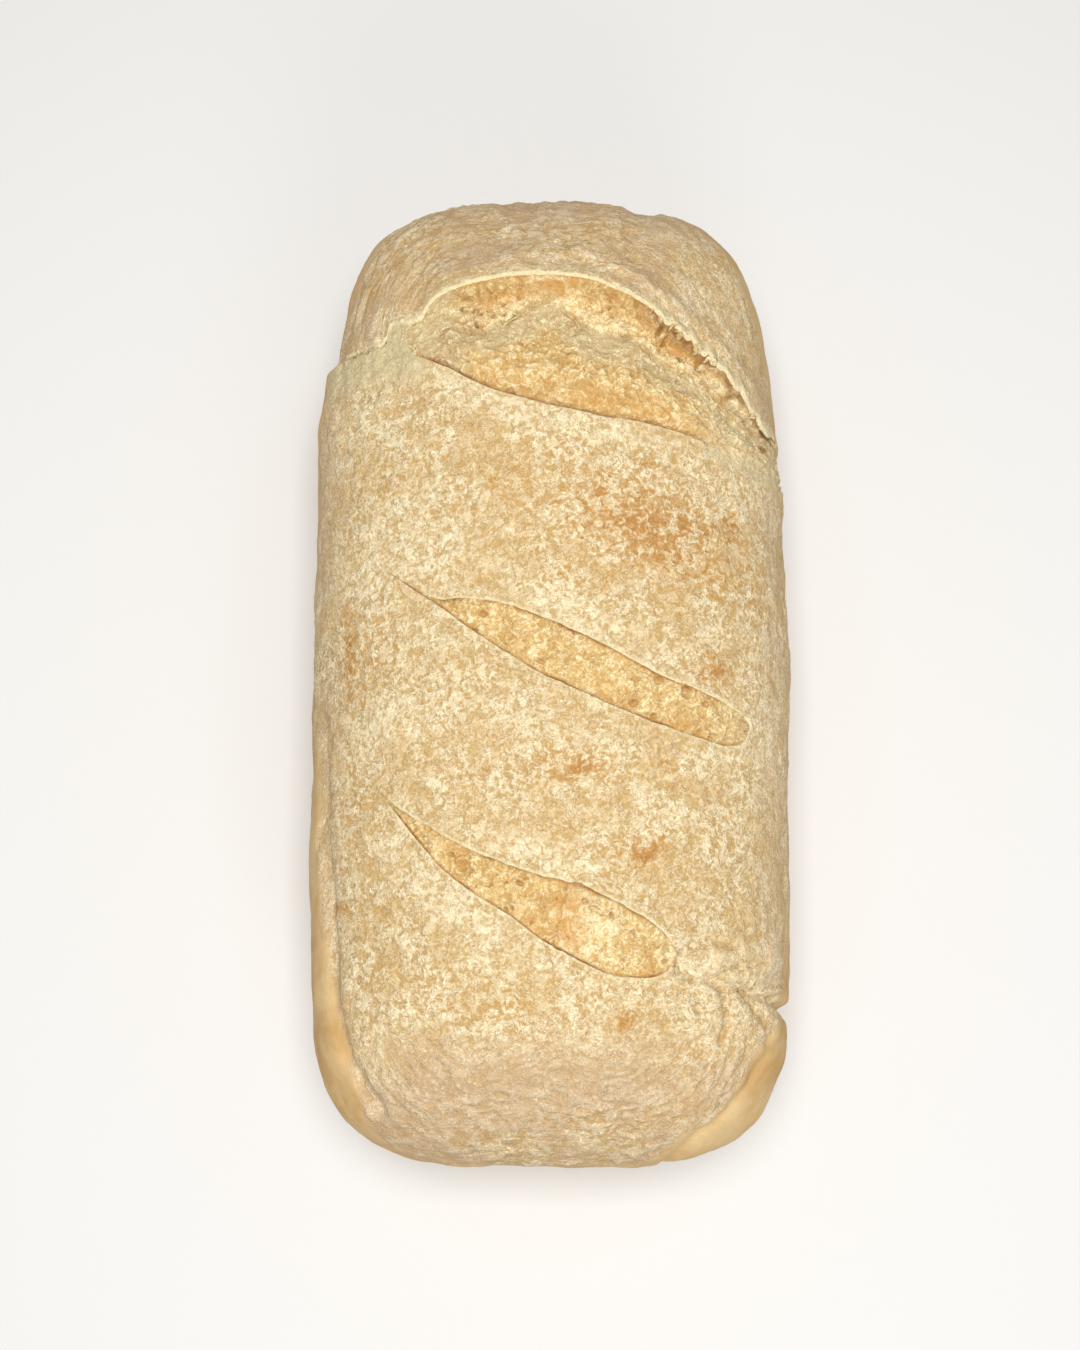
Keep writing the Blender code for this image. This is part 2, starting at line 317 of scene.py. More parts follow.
blisters = [(-48.4, -80.5, 1.1, 0.9), (-43.5, -92, 0.9, 0.7), (36.6, -90.2, 1.5, 1.2), (-49, 12, 1.3, 0.7),
            (-40.5, -17.5, 2.6, 0.8), (-37, -20, 2.2, 0.7), (39, -3, 1.6, 0.9), (-44.5, 31, 1.2, 0.6),
            (46, 36, 1.8, 0.8), (41.5, 21.5, 2.2, 0.7), (-12, -103, 1.2, 0.5), (12, 38, 1.4, 0.5),
            (33, 47, 1.5, 0.6), (-36, 53, 1.6, 0.7), (50, 5, 1.5, 0.7), (8, -45.5, 2.4, 0.6)]
fanMarks = {"x": 47, "y": -82, "wide": 19, "long": 17, "rise": 0.85}
tornSkin = {"x": -43, "y": 72, "wide": 15, "long": 8, "rise": 0.7}
swellings = [(62, 2, 24, 1.2), (3, 124, 9, 0.9), (-54, -104, 14, 0.3), (50, -75, 6, 0.8), (51, -95, 7, 0.8),
             (12, 40, 30, 0.6), (-20, -20, 22, 0.5)]  # where the outline bulges a little
sinkholes = [(33.4, -70.6, 0.8, 1.0), (18.9, -86.5, 1.3, 0.8), (-22, 57, 0.8, 0.7), (30, 22, 0.9, 0.6)]


def crustRelief(x, y, z):
    p = (x, y, z)
    skin = tinSkin(x, y, z)
    rough = 1 - skin
    streaky = wrinkled(x, y) * rough
    around, inwards = ringCoordinates(x, y)
    lumps = 0.6 * bumps(p, 26, 1) + 0.42 * bumps(p, 11, 2) + 0.25 * crags(p, 6, 3)
    for cx, cy, radius, rise in swellings:
        lumps = lumps + rise * hump(np.hypot(x - cx, y - cy), radius) * smooth(20, 50, z)
    warp = (x + 0.9 * bumps(p, 2.6, 5), y + 0.9 * bumps(p, 2.6, 6), z)
    grain = 0.42 * crags(warp, 3.2, 4, 2) + 0.3 * bumps(warp, 1.5, 7)
    along = around + 3 * bumps(p, 14, 8)
    across = inwards + 1.5 * bumps(p, 9, 9)
    streaks = 0.55 * (ridges((along / 9, across / 2.6, z / 30), 1, 10) - 0.5)
    streaks = streaks + 0.34 * bumps((along / 3.6, across / 1.25, z / 12), 1, 12)
    fine = rough * (1 - 0.4 * streaky) * grain + streaky * streaks
    # stretch marks that fan out from the furrow on the right
    dx, dy = x - fanMarks["x"], y - fanMarks["y"]
    fan = hump(np.hypot(dx / fanMarks["wide"], dy / fanMarks["long"]), 1) * rough
    spokes = ridges((np.arctan2(dy, dx) * 6 + 0.5 * bumps(p, 7, 13), np.hypot(dx, dy) / 16, 0 * x), 1, 14)
    fine = fine + fanMarks["rise"] * fan * (spokes - 0.5)
    for line, depth in sideFolds:
        away = lineDistance(line, x, y)
        fine = fine - depth * hump(away, 0.9) + 0.6 * depth * hump(away - 2.8, 1.9)
    # wrinkled, blistered skin where the burst's left end tore
    away = np.hypot((x - tornSkin["x"]) / tornSkin["wide"], (y - tornSkin["y"]) / tornSkin["long"])
    fine = fine + hump(away, 1) * rough * tornSkin["rise"] * (ridges((x / 1.4, y, z), 3.6, 15) - 0.45)
    for cx, cy, radius, rise in blisters:
        fine = fine + rise * hump(np.hypot(x - cx, y - cy), radius) * rough
    for cx, cy, radius, depth in sinkholes:
        fine = fine - depth * smooth(radius, radius * 0.5, np.hypot(x - cx, y - cy))
    dimples = 0.1 * bumps(p, 5, 16) - 0.35 * smooth(0.55, 0.85, bumps(p, 4.5, 18))
    return lumps + skin * dimples, fine


# browning and flour, as soft uneven patches:
# x, y, half length, half width, turn in degrees, strength
brownPatches = [(24, 29, 38, 16, -18, 0.66), (-8, 43, 17, 7, -10, 0.5), (34, 36, 13, 5, -25, 0.42),
                (42.5, 30, 8, 7, 0, 0.7), (6, -29.5, 15, 6, 0, 0.64), (21.5, -49, 10, 5.5, 10, 0.68),
                (38, -4.5, 7, 5, -40, 0.66), (10, 17, 15, 5, -10, 0.42), (18.6, -88, 4.5, 4, -30, 0.75),
                (20, 44, 11, 3, -8, 0.55), (-37.5, 41, 7, 4, 20, 0.5), (-7, -86, 26, 10, 0, 0.36),
                (-42, 1, 7, 10, 0, 0.4), (-30, -78, 9, 7, 0, 0.32), (27, -29, 13, 6, 10, 0.4),
                (-21, 34, 10, 5, -15, 0.34), (-40, -66, 7, 6, 0, 0.32), (-49.5, 0, 4, 17, 0, 0.72),
                (-51.5, -62, 3, 4.5, 0, 0.75), (-41, 99, 13, 9, 50, 0.4), (44, 100, 12, 7, -50, 0.46),
                (40, 18, 10, 18, 0, 0.4), (8, 47, 30, 5, -10, 0.4),
                (3, 108, 26, 5, 0, 0.3), (8, -112, 32, 6, 0, 0.34), (33, -97, 8, 7, 0, 0.42),
                (-24, -8, 9, 6, 0, 0.32), (40, -40, 9, 7, 0, 0.36), (-14, -30, 9, 4, -20, 0.34),
                (-46, -36, 4, 12, 0, 0.45), (50, 14, 5, 14, 0, 0.45)]
flourPatches = [(-36, 26, 15, 13, 0, 0.5), (6, 8, 24, 3.2, -27, 0.65), (8, -22, 26, 3, -27, 0.35),
                (-40, -18, 6, 5, 0, 0.8), (-4, -48.5, 12, 3, -15, 0.85), (-22, -62, 22, 4, -38, 0.6),
                (-14, 62, 22, 3.2, -22, 0.6), (24, 51, 20, 2.6, -8, 0.45), (46, -22, 8, 14, 0, 0.5),
                (44, -76, 12, 5, -10, 0.6), (-46, 58, 8, 10, 0, 0.45), (45, 54, 10, 7, -30, 0.5)]


def softPatches(patches, x, y, z):
    wanderX = x + 3.5 * crags((x, y, z), 9, 31)
    wanderY = y + 2.5 * crags((x, y, z), 9, 33)
    total = np.zeros_like(x)
    for cx, cy, length, width, turn, strength in patches:
        c, s = math.cos(math.radians(turn)), math.sin(math.radians(turn))
        u, v = (wanderX - cx) * c + (wanderY - cy) * s, (wanderY - cy) * c - (wanderX - cx) * s
        total = np.maximum(total, strength * hump(np.hypot(u / length, v / width), 1))
    return total


# mesh helpers
def makeObject(name, verts, faces, fields, material):
    mesh = bpy.data.meshes.new(name)
    mesh.from_pydata((np.asarray(verts) * mm).tolist(), [], faces)
    for field, values in fields.items():
        layer = mesh.attributes.new(field, "FLOAT", "POINT")
        layer.data.foreach_set("value", np.clip(np.asarray(values, np.float32), 0, 1))
    mesh.materials.append(material)
    mesh.validate()
    mesh.shade_smooth()
    piece = bpy.data.objects.new(name, mesh)
    bpy.context.scene.collection.objects.link(piece)
    return piece


def gridFaces(rows, columns):
    index = np.arange(rows * columns).reshape(rows, columns)
    return np.stack([index[:-1, :-1], index[:-1, 1:], index[1:, 1:], index[1:, :-1]], -1).reshape(-1, 4)


def settle(piece):
    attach(piece, "root")
    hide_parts("tin_loaf")


# crust
def crustPlan():
    a = np.interp(np.linspace(-1, 1, loaf["columns"] + 1), stepX, placeX)
    a = np.tile(a, (lastRow + 1, 1))
    b = np.interp(np.linspace(-1, 1, lastRow + 1), stepY, placeY)
    b = np.tile(b[:, None], (1, loaf["columns"] + 1))
    knots = [0] + [row for cut in cuts.values() for row in cut["rows"]] + [lastRow]
    for settling in range(5):
        pull = outlinePull(a, b)
        x = halfWidthAt(halfLong * b * pull) * a * pull
        levels = [np.full(x.shape[1], -1.0)]
        for name, cut in cuts.items():
            ends = (cut["nearEdge"][0][0], cut["nearEdge"][-1][0])
            for side, row in enumerate(cut["rows"]):
                near, far, width = cutEdges(name, x[row])
                beyond = np.maximum(np.maximum(ends[0] - x[row], x[row] - ends[1]), 0)
                spread = np.maximum(tipGap + 0.22 * beyond - (far - near), 0) / 2
                y = far + spread if side else near - spread
                levels.append(y / (halfLong * pull[row]))
        levels.append(np.full(x.shape[1], 1.0))
        steps = np.interp(np.array(levels), placeY, stepY)
        for column in range(x.shape[1]):
            even = np.interp(np.arange(lastRow + 1), knots, steps[:, column])
            b[:, column] = np.interp(even, stepY, placeY)
    pull = outlinePull(a, b)
    y = halfLong * b * pull
    return halfWidthAt(y) * a * pull, y


def leftStepAt(x, y):  # the crust behind the burst's left end is drawn in, and the crust before it swells out
    beyond = y - curveAt(cuts["burst"]["farEdge"], x)
    drawnIn = leftStep["drawnIn"] * smooth(-0.9, 0.3, beyond) * smooth(108, 88, y)
    swollen = leftStep["swollen"] * smooth(52, 66, y) * smooth(0.3, -0.9, beyond)
    return (drawnIn - swollen) * smooth(-38, -58, x)


def sinkCut(name, x, y, drop):
    # the rows just inside a cut's two edges round over the lip, turn back under it, and sink out of sight
    first, last = cuts[name]["rows"]
    ear = name == "burst"
    nearLip = [(1, 0.3, 0.1), (2, 0.4, 0.45), (3, 0.1, 1.5), (4, 1.2, 4.2)]
    farLip = [(1, -0.35, 0.4), (2, 0.1, 1.2), (3, 1.1, 1.7), (4, 1.8, 4.6), (5, 0.5, 9.5)] if ear else nearLip
    for row in range(first + 1, last):
        opened = openness(name, x[row])
        near, far, width = cutEdges(name, x[row])
        deep = 1 - 0.72 * smooth(44, 55, x[row]) - 0.6 * smooth(-24, -33, x[row]) if ear else 1
        inNear, inFar = row - first, last - row
        table = nearLip if inNear <= inFar else farLip
        depthIn = min(inNear, inFar)
        if inNear > inFar and not ear:
            table = [(k, -shift, down) for k, shift, down in farLip]
        match = [entry for entry in table if entry[0] == depthIn]
        limit = smooth(0, 3, width)
        if match:
            edge = near if inNear <= inFar else far
            k, shift, down = match[0]
            y[row] = y[row] * (1 - opened) + (edge + shift * limit * deep) * opened
            drop[row] = down * opened * deep
        else:
            drop[row] = (9.5 if ear else 5) * opened * limit * deep
    # where the burst is shut, on the left, the lip is a ledge: the row before it stays close
    last = cuts["burst"]["rows"][1]
    ledge = smooth(-34, -40, x[last]) * smooth(-62, -60, x[last])
    if ear:
        y[last - 1] = y[last - 1] * (1 - ledge) + (y[last] - 0.3) * ledge
    return y, drop


def ringPath(rows, columns):
    right = [(0, c) for c in range(columns)] + [(r, columns) for r in range(rows)]
    return right + [(rows, c) for c in range(columns, 0, -1)] + [(r, 0) for r in range(rows, 0, -1)]


sideTear = {"middle": 52.2, "halfWidth": 5.2, "foot": 31, "depth": 3.2}


def tearWidth(z):  # half width of the tear down the right wall at a height
    share = np.clip((z - sideTear["foot"]) / (loaf["rimHeight"] - sideTear["foot"]), 0, 1)
    return sideTear["halfWidth"] * share**0.8


def wallRings(rimX, rimY):
    rings = []
    rimHeight, foot = loaf["rimHeight"], loaf["foot"]
    for k in range(1, loaf["wallRings"] + 1):
        z = rimHeight + (foot - rimHeight) * k / loaf["wallRings"]
        inset = loaf["taper"] * (1 - z / rimHeight)
        rings.append((inset, z))
    for k in range(1, loaf["footRings"] + 1):
        turn = math.pi / 2 * k / loaf["footRings"]
        z = foot * (1 - math.sin(turn))
        rings.append((loaf["taper"] * (1 - z / rimHeight) + foot * (1 - math.cos(turn)), z))
    return [(rimX * (1 - i / halfWide), rimY * (1 - i / halfLong), np.full(rimX.shape, z)) for i, z in rings]


def meshNormals(verts, quads):
    corners = verts[quads]
    faceNormal = np.cross(corners[:, 2] - corners[:, 0], corners[:, 3] - corners[:, 1])
    normals = np.zeros_like(verts)
    for k in range(4):
        np.add.at(normals, quads[:, k], faceNormal)
    return normals / np.maximum(np.linalg.norm(normals, axis=1), 1e-12)[:, None]


def buildCrust(material):
    x, y = crustPlan()
    rows, columns = lastRow, loaf["columns"]
    drop = np.zeros_like(x)
    lift = earLift(x, y) + welts(x, y) + folded(x, y)
    lipFlourAndHighlight = np.zeros_like(x)
    for name, cut in cuts.items():
        first, last = cut["rows"]
        for row in range(first + 1, last):
            source = first if row - first <= last - row else last
            opened = openness(name, x[row])
            lift[row] = lift[row] * (1 - opened) + lift[source] * opened
        y, drop = sinkCut(name, x, y, drop)
        farStrength = 0.9 if name == "burst" else 0.4
        # the rows along each lip get a pale band: partly flour, partly a painted highlight on the lip's edge
        for row, strength in ((first, 0.3), (first + 1, 0.6), (last - 1, 1), (last, farStrength)):
            lipFlourAndHighlight[row] = strength * openness(name, x[row])
        if name == "burst":
            ledgeFlourAndHighlight = 0.8 * smooth(-30, -34, x[last]) * smooth(-58, -50, x[last])
            lipFlourAndHighlight[last] = np.maximum(lipFlourAndHighlight[last], ledgeFlourAndHighlight)
            lipFlourAndHighlight[first:first + 2] *= smooth(-36, -28, x[first]) * smooth(40, 30, x[first])
    z = domeAt(x, y)
    path = ringPath(rows, columns)
    rimIndex = [r * (columns + 1) + c for r, c in path]
    rings = wallRings(x.ravel()[rimIndex], y.ravel()[rimIndex])
    step = leftStepAt(x, y)
    x = x + step
    rimStep = step.ravel()[rimIndex]
    top, below = loaf["rimHeight"], loaf["rimHeight"] - leftStep["fadesOver"]
    rings = [(rx + rimStep * smooth(below, top, rz), ry, rz) for rx, ry, rz in rings]
    topCount = x.size
    verts = [np.stack([x.ravel(), y.ravel(), z.ravel()], 1)]
    faces = [gridFaces(rows + 1, columns + 1)]
    upper = np.array(rimIndex)
    count = topCount
    for ringX, ringY, ringZ in rings:
        verts.append(np.stack([ringX, ringY, ringZ], 1))
        lower = np.arange(count, count + len(path))
        faces.append(np.stack([np.roll(upper, -1), upper, lower, np.roll(lower, -1)], 1))
        upper, count = lower, count + len(path)
    lastX, lastY, lastZ = rings[-1]
    for shrink in (0.94, 0.7, 0.35):
        verts.append(np.stack([lastX * shrink, lastY * shrink, lastZ], 1))
        lower = np.arange(count, count + len(path))
        faces.append(np.stack([np.roll(upper, -1), upper, lower, np.roll(lower, -1)], 1))
        upper, count = lower, count + len(path)
    verts, faces = np.concatenate(verts), np.concatenate(faces)
    normals = meshNormals(verts, faces)
    vx, vy, vz = verts.T
    lumps, fine = crustRelief(vx, vy, vz)
    offset = np.zeros(len(verts))
    offset[:topCount] = lift.ravel() - drop.ravel()
    onWall = (vx > 52) * (outlineDistance(vx, vy) < 2.6) * smooth(sideTear["foot"], sideTear["foot"] + 3, vz)
    fromTear = tearWidth(vz) - np.abs(vy - sideTear["middle"])
    inTear = smooth(-0.4, 0.6, fromTear) * onWall
    offset -= sideTear["depth"] * inTear
    seat = smooth(0, 4, vz)  # so that the base stays flat
    fadeFurrow = smooth(loaf["rimHeight"] - 16, loaf["rimHeight"], vz)
    offset[topCount:] += (folded(vx, vy) * fadeFurrow)[topCount:]
    calm = 1 - np.clip(np.concatenate([drop.ravel(), np.zeros(len(verts) - topCount)]) / 2, 0, 1)
    placed = verts + normals * (offset + (lumps + fine * calm) * seat)[:, None]
    placed[:, 2] = np.maximum(placed[:, 2], 0)
    burstNear, burstFar, burstWidth = cutEdges("burst", vx)
    dough = smooth(-29, -33, vx) * hump(np.maximum(72 - vy, 0), 4) * smooth(0.3, -0.5, vy - burstFar)
    dough = np.maximum(dough, 0.8 * smooth(34, 44, vx) * hump(burstNear - vy, 3.5) * (vy < burstFar))
    brown = softPatches(brownPatches, vx, vy, vz)
    flour = softPatches(flourPatches, vx, vy, vz)
    rim = np.zeros(len(verts))
    rim[:topCount] = lipFlourAndHighlight.ravel()
    # a pale band along the ear's lip: partly flour, partly a painted highlight where the lip catches the
    # light
    behind = vy - burstFar
    band = hump(np.maximum(behind, 0), 2.3) * (behind > -0.05)
    band = band * (smooth(14, 34, vx) + 0.35 * smooth(-16, -30, vx))
    band = band * smooth(-40, -34, vx) * smooth(61, 56, vx)
    rim[:topCount] = np.maximum(rim[:topCount], 0.75 * band[:topCount])
    # painted shade: crust that turns under a lip or sinks into the tear is coloured darker the deeper it
    # goes, over the baked colour of its underside
    under = np.zeros(len(verts))
    inBurst = np.abs(vy - 72) < 26
    under[:topCount] = np.clip(drop.ravel() / np.where(inBurst[:topCount], 2.5, 5), 0, 1)
    under = np.maximum(under, inTear)
    fields = {"brown": brown, "flour": flour, "tin": tinSkin(vx, vy, vz), "rim": rim, "under": under,
              "height": 0.5 + 0.7 * fine, "dough": dough, "streaky": wrinkled(vx, vy),
              "base": smooth(16, 2, vz)}
    around, inwards = ringCoordinates(vx, vy)
    flow = np.stack([(around + 3 * bumps((vx, vy, vz), 14, 8)) / 3.2,
                     inwards + 1.5 * bumps((vx, vy, vz), 9, 9), vz / 2], 1)
    quads = faces.tolist()
    quads.append(upper[::-1].tolist())
    crust = makeObject("crust", placed, quads, fields, material)
    layer = crust.data.attributes.new("flow", "FLOAT_VECTOR", "POINT")
    layer.data.foreach_set("vector", flow.astype(np.float32).ravel())
    return crust


# crumb that shows in the cuts
burstFloor = [(0, -1.5), (0.04, -0.7), (0.12, 0.3), (0.26, 0.8), (0.4, 0.2), (0.52, -1.2), (0.64, -2.3),
              (0.78, -3.1), (0.9, -3.3), (1, -3.0)]
sheetEdge = [(-38, 0.6), (-24, 0.6), (-17.5, 0.58), (-13, 0.68), (-9, 0.745), (-4.4, 0.87), (2.3, 0.88),
             (8.5, 0.71),
             (18.6, 0.75), (25.6, 0.72), (30, 0.7), (38, 0.77), (45, 0.84), (56, 0.88), (62, 0.9)]
craters = {
    "near": [(-20.5, -52, 1.9, 1.6, 0.35), (-23.5, -49.5, 0.9, 0.8, 0.5), (-22.5, -51, 0.5, 0.9, 0.6),
             (-14, -57, 0.6, 0.5, 0.5), (-6, -55.5, 1.2, 0.6, 0.4), (8, -60.5, 1.0, 0.7, 0.5),
             (14, -64, 0.7, 1.1, 0.5), (27, -71, 0.9, 1.5, 0.4), (-9.5, -60, 0.7, 0.6, 0.4)],
    "middle": [(7.2, 4.2, 3.6, 1.4, 0.9), (32.3, -10.4, 1.5, 1.8, 0.8), (-16, 7.6, 1.5, 1.0, 0.45),
               (-18.2, 4.0, 1.2, 0.5, 0.5), (24.5, -16.6, 1.0, 0.7, 0.6), (37, -13.2, 1.3, 0.8, 0.5),
               (20, -8, 2.2, 0.7, 0.35), (-2, -3.5, 1.6, 0.8, 0.4), (13, -1.8, 1.2, 0.6, 0.4),
               (41, -15.5, 0.8, 0.7, 0.4), (-10, 6, 0.9, 0.7, 0.3)],
    "burst": [(-18.5, 81.5, 0.7, 1.6, 1.6), (-17.5, 85, 0.5, 0.9, 1.3), (-14.2, 83.5, 0.6, 1.0, 1.3),
              (-11.5, 84.6, 0.5, 0.6, 1.0), (-26, 80, 1.1, 0.9, 0.6), (-22.5, 86.6, 0.5, 0.5, 0.8),
              (10, 66, 0.5, 0.4, 0.9), (-8, 70.5, 1.1, 0.8, 0.5), (24, 66, 0.8, 0.6, 0.5),
              (27, 79.5, 0.8, 1.2, 1.3),
              (33, 73.5, 1.0, 0.9, 1.2), (37.5, 70.5, 0.9, 0.8, 1.2), (49, 60.2, 0.8, 0.6, 1.0)],
}
orangePatches = {
    "near": [(4, -64, 4.2, 9, 12, 1.0), (-22, -52, 3, 3, 0, 0.5), (22, -76.5, 7, 2, 10, 0.7),
             (-4, -66, 5, 3, -30, 0.5)],
    "middle": [(8, 4.6, 4.5, 1.3, -20, 0.8), (31, -20, 12, 1.4, -18, 0.7), (33, -9.5, 6, 2, -25, 0.6),
               (-17, 7, 3, 1.5, 0, 0.4), (16, -14, 10, 1.4, -20, 0.6)],
    "burst": [(-15, 68.5, 6, 3.6, -20, 0.7), (12, 60.5, 8, 4, -10, 0.7), (23, 58.5, 5, 3.6, -30, 0.85),
              (31, 56, 7, 2.6, -20, 0.8), (-2, 66, 9, 4, -10, 0.3), (2, 91.2, 11, 1.9, 0, 1.0),
              (20, 85.6, 6, 1.3, -40, 0.9), (-12, 90, 6, 1.4, 10, 0.5), (34, 74.5, 8, 1.6, -42, 0.8),
              (46, 63, 7, 1.6, -45, 0.7), (-30, 74.5, 5, 2, -20, 0.3)],
}


def looseBubbles(name, number):  # small pores spread over a cut's floor
    cut = cuts[name]
    x = draws.uniform(cut["nearEdge"][0][0] + 6, cut["nearEdge"][-1][0] - 1, number)
    near, far, width = cutEdges(name, x)
    y = near + draws.uniform(0.08, 0.92, number) * width
    radius = 0.28 + 0.9 * draws.random(number) ** 3
    stretch = draws.uniform(0.8, 1.5, number)
    return list(zip(x, y, radius * stretch, radius, 0.25 + 0.5 * draws.random(number)))


def burstDepthAt(x, share):
    near, far, width = cutEdges("burst", x)
    low = curveAt(burstFloor, np.clip(share, 0, 1)) * smooth(1, 17, width)
    # the left end is torn dough that lies flat, with no bulge
    flat = 1 - smooth(-30, -17, x)
    sunk = 0.25 + 0.75 * smooth(0.25, 0.9, share) * smooth(-33, -27, x)
    low = low * (1 - flat) - flat * sunk * smooth(-35.5, -30, x)
    # past the seam's right end the dough runs on into the crust
    joined = smooth(32, 42, x) * smooth(0.45, 0.0, share)
    low = low * (1 - joined) + 0.1 * joined
    # the dough rises to the lip on the right
    low = low * (1 - 0.6 * smooth(24, 40, x) * smooth(0.5, 0.7, share))
    wall = smooth(0.88, 0.985, share) ** 1.3
    rise = earEdge["rise"] * smooth(3, 20, width) * (1 - 0.85 * smooth(46, 58, x)) - 1.0
    return low * (1 - wall) + rise * wall


def cutFloor(name, x, share, width):
    if name == "burst":
        return burstDepthAt(x, share)
    cut = cuts[name]
    across = np.clip(share, 0, 1)
    swollen = cut["bulge"] * np.sin(math.pi * across) ** 0.6 * smooth(0.5, 8, width)
    uneven = 0.75 + 0.7 * bumps((x, 9 * np.round(across), 0 * x), 5, 68)  # the groove comes and goes
    groove = -cut["drop"] * np.maximum(uneven, 0.1) * smooth(0, 3, width)
    return groove * np.where(across < 0.5, 1.5, 0.9) + swollen


def sheetAt(x, share):  # 1 on the torn sheet of dough that hangs under the lip, and where its edge runs
    flat = (x, np.zeros_like(x), np.zeros_like(x))
    edge = curveAt(sheetEdge, x) + 0.035 * bumps(flat, 2.4, 74) + 0.02 * bumps(flat, 1.0, 75)
    return smooth(-0.012, 0.012, share - edge) * smooth(-27, -21, x) * smooth(58, 50, x), edge


def tornCrumb(x, y, z, share):
    p = (x, y, z)
    turned = (x + 2.0 * bumps(p, 3.8, 51) + 0.7 * bumps(p, 1.7, 50), y + 2.0 * bumps(p, 3.8, 52), z)
    swirl = ridges(turned, 2.3, 53)
    bulge = 1 - smooth(0.4, 0.56, share)
    relief = 0.45 * crags(p, 4.5, 54) + 0.3 * bumps(p, 1.3, 55)
    relief += (0.45 * bulge + 0.3) * (swirl - 0.45)
    # the sheet is thick at its torn edge, with gaps pulled open in it
    sheet, edge = sheetAt(x, share)
    relief += 0.95 * sheet * smooth(0.22, 0.03, share - edge)
    below = hump((share - edge + 0.03) / 0.025, 1) * smooth(-27, -21, x) * smooth(58, 50, x)
    relief -= 0.9 * below * smooth(-0.1, 0.4, bumps(p, 3.4, 76))
    lean = x - 0.5 * (y - 85) * smooth(10, 50, x) + 1.4 * bumps(p, 3.2, 56)
    web = ridges((lean / 1.9, (y + 1.2 * bumps(p, 3, 60)) / 3.6, z / 8), 1, 57)
    gaps = smooth(0.3, 0.62, bumps((lean / 2.3, y / 3.2, z / 12), 1, 58)) * smooth(0.97, 0.9, share)
    relief += sheet * (0.5 * (web - 0.5) - 1.1 * gaps)
    # long fibres run down to the right
    across, along = 0.69 * x + 0.72 * y + 0.8 * bumps(p, 5, 77), 0.72 * x - 0.69 * y
    fibres = ridges((across / 1.25, along / 8, z / 20), 1, 78)
    relief += 0.55 * smooth(24, 40, x) * (1 - sheet) * (fibres - 0.5)
    return relief


def softCrumb(x, y, z, name, share):
    p = (x, y, z)
    relief = 0.42 * crags(p, 4.2, 61) + 0.16 * bumps(p, 1.3, 62)
    relief += 0.45 * (ridges((x + 1.5 * bumps(p, 2.6, 63), y + 1.5 * bumps(p, 2.6, 64), z), 3.0, 65) - 0.4)
    if name == "near":  # a thin skin ends in a step across the cut
        step = x - (2.2 + 0.25 * (y + 64) + 0.6 * bumps(p, 2.5, 66))
        relief += 0.8 * smooth(-0.3, 0.25, step) * (1 - smooth(4, 22, step))
    return relief


def sunkPores(name, x, y, pores):
    sunk, shadowInPore = np.zeros_like(x), np.zeros_like(x)
    flat = (x, y, np.zeros_like(x))
    bentX = x + 0.5 * bumps(flat, 1.9, 69) + 0.25 * bumps(flat, 0.8, 79)
    bentY = y + 0.5 * bumps(flat, 1.9, 70) + 0.25 * bumps(flat, 0.8, 80)
    for cx, cy, rx, ry, depth in pores:
        away = np.hypot((bentX - cx) / rx, (bentY - cy) / ry)
        sunk -= depth * smooth(1.0, 0.5, away) - 0.5 * depth * hump(away - 1.15, 0.25)
        # painted shadow: each pore is coloured dark on its far, right side, as if lit from the near left
        shadowSide = 0.12 + 0.88 * smooth(-0.2, 0.7, 0.35 * (bentX - cx) / rx + 0.9 * (bentY - cy) / ry)
        shadowInPore = np.maximum(shadowInPore, smooth(1.05, 0.7, away) * min(1, depth * 1.8) * shadowSide)
    return sunk, shadowInPore


